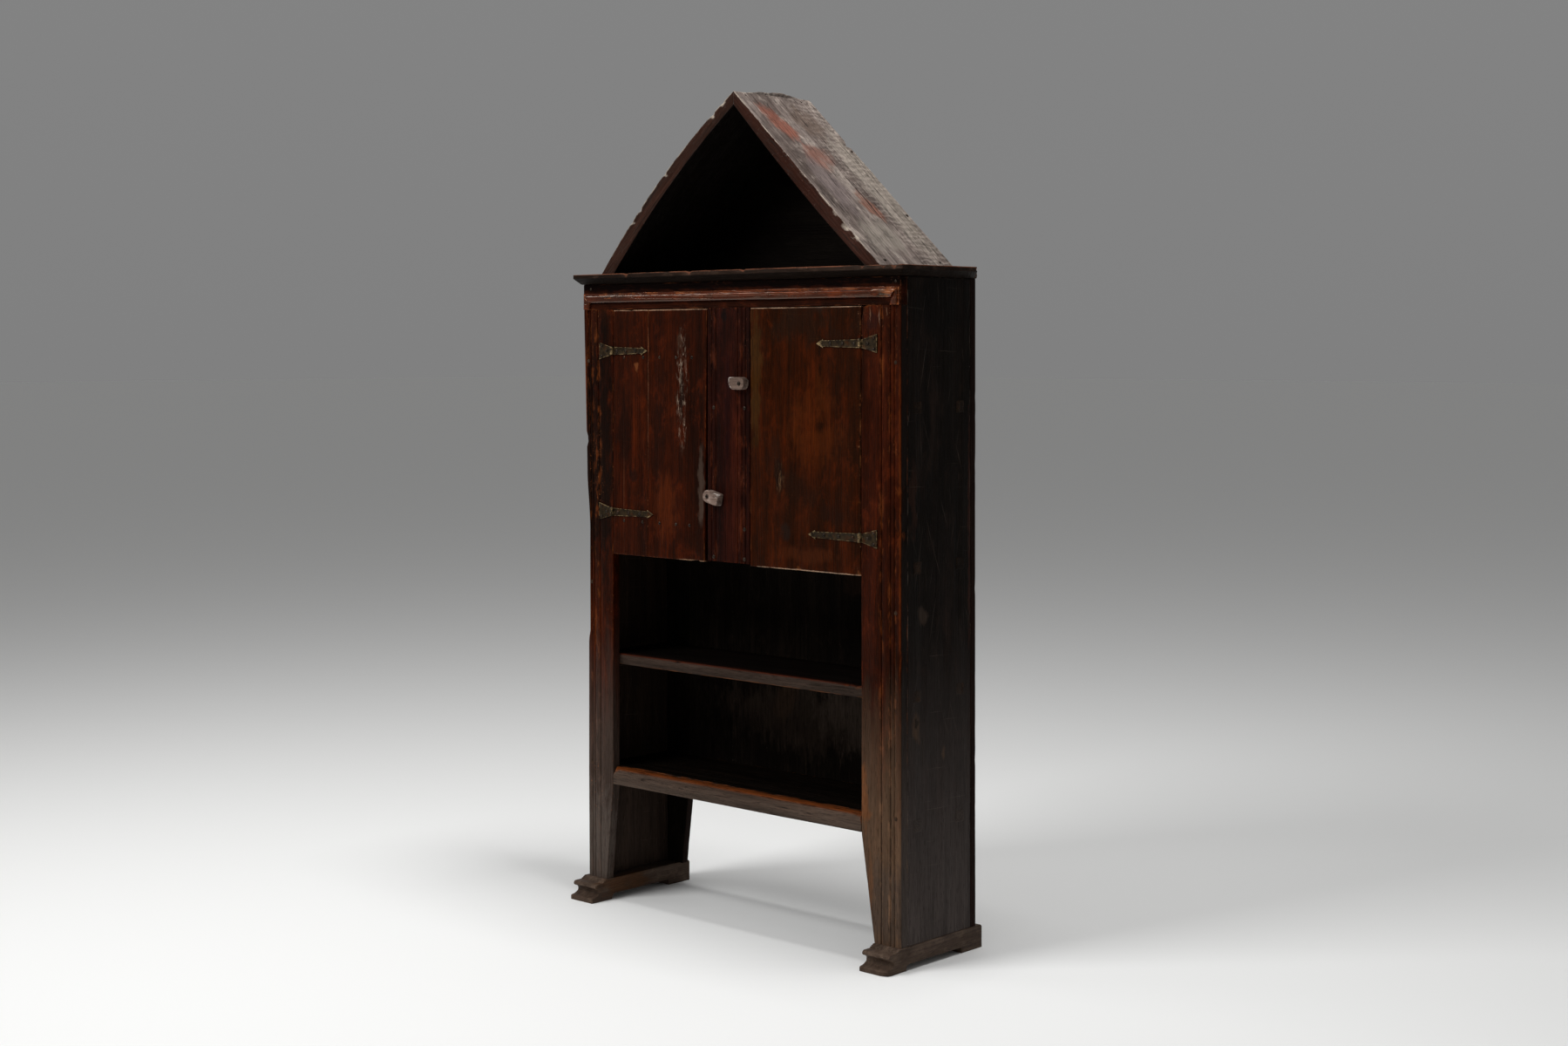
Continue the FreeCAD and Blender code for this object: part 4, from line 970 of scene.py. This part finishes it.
# Turn buttons: short wooden bars that swing on a headed pivot and hold the doors shut, weathered grey
# with a bright rubbed top arris and one end cut round.
button_finish = old_wood(
    "button_weathered", "X", (88, 71, 62), (126, 107, 97), (164, 147, 137), (232, 222, 213), gloss=0.5, cracks=0.7,
    edge=0.9, rough=1.5,
)
buttons = {"upper": (0.034, 1.239, 180), "lower": (-0.066, 0.981, -14)}
button_back, button_front = -0.1139, -0.1319
for name, (x, z, turn) in buttons.items():
    bar = board((x - 0.014, button_front, z - 0.014), (x + 0.033, button_back, z + 0.014))
    eased(bar, 0.0125, lambda co: co.x < x, 6, along=1)
    eased(bar, 0.0030, lambda co: co.x > x + 0.03, 2, along=1)
    bar = worn(bar, 64, arris=0.0016, fine=0.005, chip=0.0022, sway=0.0003, reach=0.006)
    dented(bar, (x + 0.033, button_front, z + 0.014), 0.012, (-0.003, 0.003, -0.002))
    bmesh.ops.rotate(bar, cent=(x, 0, z), matrix=Matrix.Rotation(math.radians(-turn), 3, "Y"), verts=bar.verts)
    placed(bar, name + "_button_bar", name + "_button", "button_wood", button_finish, name + "_turn_button")

# Nails and pegs: hand-made nails with low domed heads hold the boards, straps and pivots, and
# whittled oak pegs pin the stiles to the sides.


def nail_head(shape, seat, out, radius=0.0040, rise=0.45):
    """One hammered dome on a surface."""
    dome = bmesh.ops.create_icosphere(shape, subdivisions=2, radius=radius)["verts"]
    bmesh.ops.scale(shape, vec=(1, 1, rise), verts=dome)
    bmesh.ops.rotate(shape, matrix=Vector(out).to_track_quat("Z", "Y").to_matrix(), verts=dome)
    bmesh.ops.translate(shape, vec=seat, verts=dome)
    for vert in dome:
        vert.co += Vector(noise.noise_vector(vert.co * 220)) * (0.10 * radius)


nail_lines = (-0.476, 0.476)
lying = Matrix.Rotation(math.pi / 2, 3, "X").to_quaternion()
forward, backward, upward = (0, -1, 0), (0, 1, 0), (0, 0, 1)
nail_finish = old_iron("nail_iron", (26, 21, 17), (58, 48, 40), (150, 138, 120), gloss=0.4)
leaf_nails = [
    ((x + turn * 0.046 * along, plate_front, z + 0.040 * up), forward)
    for x, z, turn, _ in hinges.values() for along, up in ((0.45, 0), (0.82, 0.3), (0.82, -0.3))
]
strap_nails = {
    side: [
        ((x - turn * (length - 0.020) * share, plate_front, z), forward)
        for name, (x, z, turn, length) in hinges.items() if name.startswith(side) for share in (0.16, 0.47, 0.8)
    ]
    for side in ("left", "right")
}
batten_nails = [
    ((-0.3745 + 0.26 * share, stile_front, z), forward)
    for z, shares in ((1.297, (0.06, 0.31, 0.52, 0.73, 0.93)), (0.910, (0.06, 0.3, 0.52, 0.73, 0.9)))
    for share in shares
]
post_nails = [((x, stile_front, z), forward) for x in (-0.0622, 0.0342) for z in (1.183, 0.843)]
post_nails += [((0.0342, stile_front, 0.910), forward)]
rail_nails = [((x, stile_front, 1.460), forward) for x in nail_lines]
top_nails = [((x, y, slab_top), upward) for x in nail_lines for y in (-0.0621, 0.0921)]
back_nails = [
    ((low[0] + (high[0] - low[0]) * share, rear_back, z), backward)
    for low, high in (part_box("back_board_%d" % number) for number in range(1, 7))
    for share in (0.3, 0.7) for z in tenon_heights
]
back_nails += [
    ((x, rear_back, side_foot + 1.421 * share), backward) for x in nail_lines for share in (0.2, 0.52, 0.91)
]
roof_nails = []
for side, turn in (("right", 1), ("left", -1)):
    eave, _, outer_rise, _, _ = slopes[side]
    for share, y in ((0.03, -0.0827), (0.03, 0.1050), (0.30, 0.134), (0.68, 0.134), (0.98, -0.0827), (0.98, 0.1050)):
        if side == "right" or share < 0.9:
            at = Vector(eave).lerp(ridge, share) + Vector(outer_rise) * (roof_bow * 4 * share * (1 - share))
            bow = roof_bow * 4 * (1 - 2 * share) if side == "left" else 0
            along = ridge - Vector(eave) + Vector(outer_rise) * bow
            out = Vector((turn * abs(along.y), 0, abs(along.x))).normalized()
            sunk = 0.0013 if share > 0.9 else 0
            roof_nails.append((Vector((at.x, y, at.y)) - sunk * out, out))
for node_name, body, seats, radius in (
    ("hinge_leaf_nails", "carcass", leaf_nails, 0.0033),
    ("right_door_nails", "right_door", strap_nails["right"], 0.0033),
    ("left_door_nails", "left_door", strap_nails["left"] + batten_nails, 0.0040),
    ("muntin_nails", "carcass", post_nails, 0.0046),
    ("rail_nails", "carcass", rail_nails, 0.0038), ("top_board_nails", "carcass", top_nails, 0.0042),
    ("back_nails", "carcass", back_nails, 0.0044), ("roof_nails", "carcass", roof_nails, 0.0042),
):
    heads = bmesh.new()
    for seat, out in seats:
        nail_head(heads, seat, out, radius)
    placed(heads, node_name[:-1] + "_heads", body, "nail_iron", nail_finish, node_name)
for name, (x, z, _) in buttons.items():
    head = bmesh.new()
    nail_head(head, (x, button_front - 0.0004, z), forward, 0.0050, 0.5)
    rod(head, (x, button_front + 0.015, z), 0.030, 0.0029, turned=lying)
    placed(head, name + "_pivot_head", "carcass", "nail_iron", nail_finish, name + "_button_pivot")
peg_finish = old_wood(
    "peg_oak", "Y", (36, 25, 18), (66, 48, 36), (96, 74, 58), (24, 16, 12), gloss=0.5, wax=0.05, rough=1.5,
)
pegs = bmesh.new()
for x in nail_lines:
    for share in (0.2, 0.52, 0.91):
        seat = leaning(Vector((x, stile_front + 0.0142, stile_foot + (stile_top - stile_foot) * share)))
        rod(pegs, seat, 0.030, 0.0052, 0.0046, segments=9, turned=lying)
pegs = worn(pegs, 70, arris=0.0008, fine=0.004, chip=0.0006, sway=0.0002, reach=0.002)
placed(pegs, "stile_peg_ends", "carcass", "peg_wood", peg_finish, "stile_pegs")

# Floor, light and camera: a plain pale studio floor under soft light from above and from the left
# of the camera, seen from the photograph's place.
floor_shape = bmesh.new()
bmesh.ops.create_grid(floor_shape, x_segments=1, y_segments=1, size=80)
floor_mesh = bpy.data.meshes.new("studio_floor")
floor_shape.to_mesh(floor_mesh)
floor_shape.free()
floor_finish = bpy.data.materials.new("studio_floor")
floor_finish.use_nodes = True
floor_finish.node_tree.nodes["Principled BSDF"].inputs["Base Color"].default_value = (0.86, 0.86, 0.85, 1)
floor_finish.node_tree.nodes["Principled BSDF"].inputs["Roughness"].default_value = 0.7
floor_mesh.materials.append(floor_finish)
studio_floor = bpy.data.objects.new("studio_floor", floor_mesh)
bpy.context.collection.objects.link(studio_floor)

sky = bpy.data.worlds.new("studio")
bpy.context.scene.world = sky
sky.use_nodes = True
sky_light = sky.node_tree.nodes["Background"]
sky_light.inputs["Color"].default_value = (1, 1, 1, 1)
upness = node(sky.node_tree, "SeparateXYZ", {0: node(sky.node_tree, "TexCoord").outputs["Generated"]}).outputs["Z"]
sky.node_tree.links.new(spread(upness, 0.0, 0.7, 0.216, 0.257), sky_light.inputs["Strength"])
for name, place, aim, width, height, power in (
    ("overhead", (0.7, 0.0, 4.6), (0, 0, 0.9), 1.1, 1.1, 96), ("key", (-1.3, -3.4, 4.0), (0, 0, 3.0), 2.0, 2.0, 179),
    ("side", (-2.7, -1.4, 3.5), (0, -0.1, 1.4), 1.5, 0.35, 14),
):
    lamp = bpy.data.lights.new(name, "AREA")
    lamp.shape, lamp.size, lamp.size_y, lamp.energy = "RECTANGLE", width, height, power
    softbox = bpy.data.objects.new(name, lamp)
    softbox.location = place
    softbox.rotation_euler = (Vector(aim) - Vector(place)).to_track_quat("-Z", "Y").to_euler()
    bpy.context.collection.objects.link(softbox)

lens = bpy.data.cameras.new("view")
lens.sensor_width = 36
lens.lens = 50.65
lens.shift_y = -0.1105
view = bpy.data.objects.new("view", lens)
view.location = (3.4577, -3.7089, 1.3147)
view.rotation_euler = (math.radians(90), 0, math.radians(42.57))
bpy.context.collection.objects.link(view)
bpy.context.scene.camera = view
bpy.context.scene.view_settings.view_transform = "Standard"
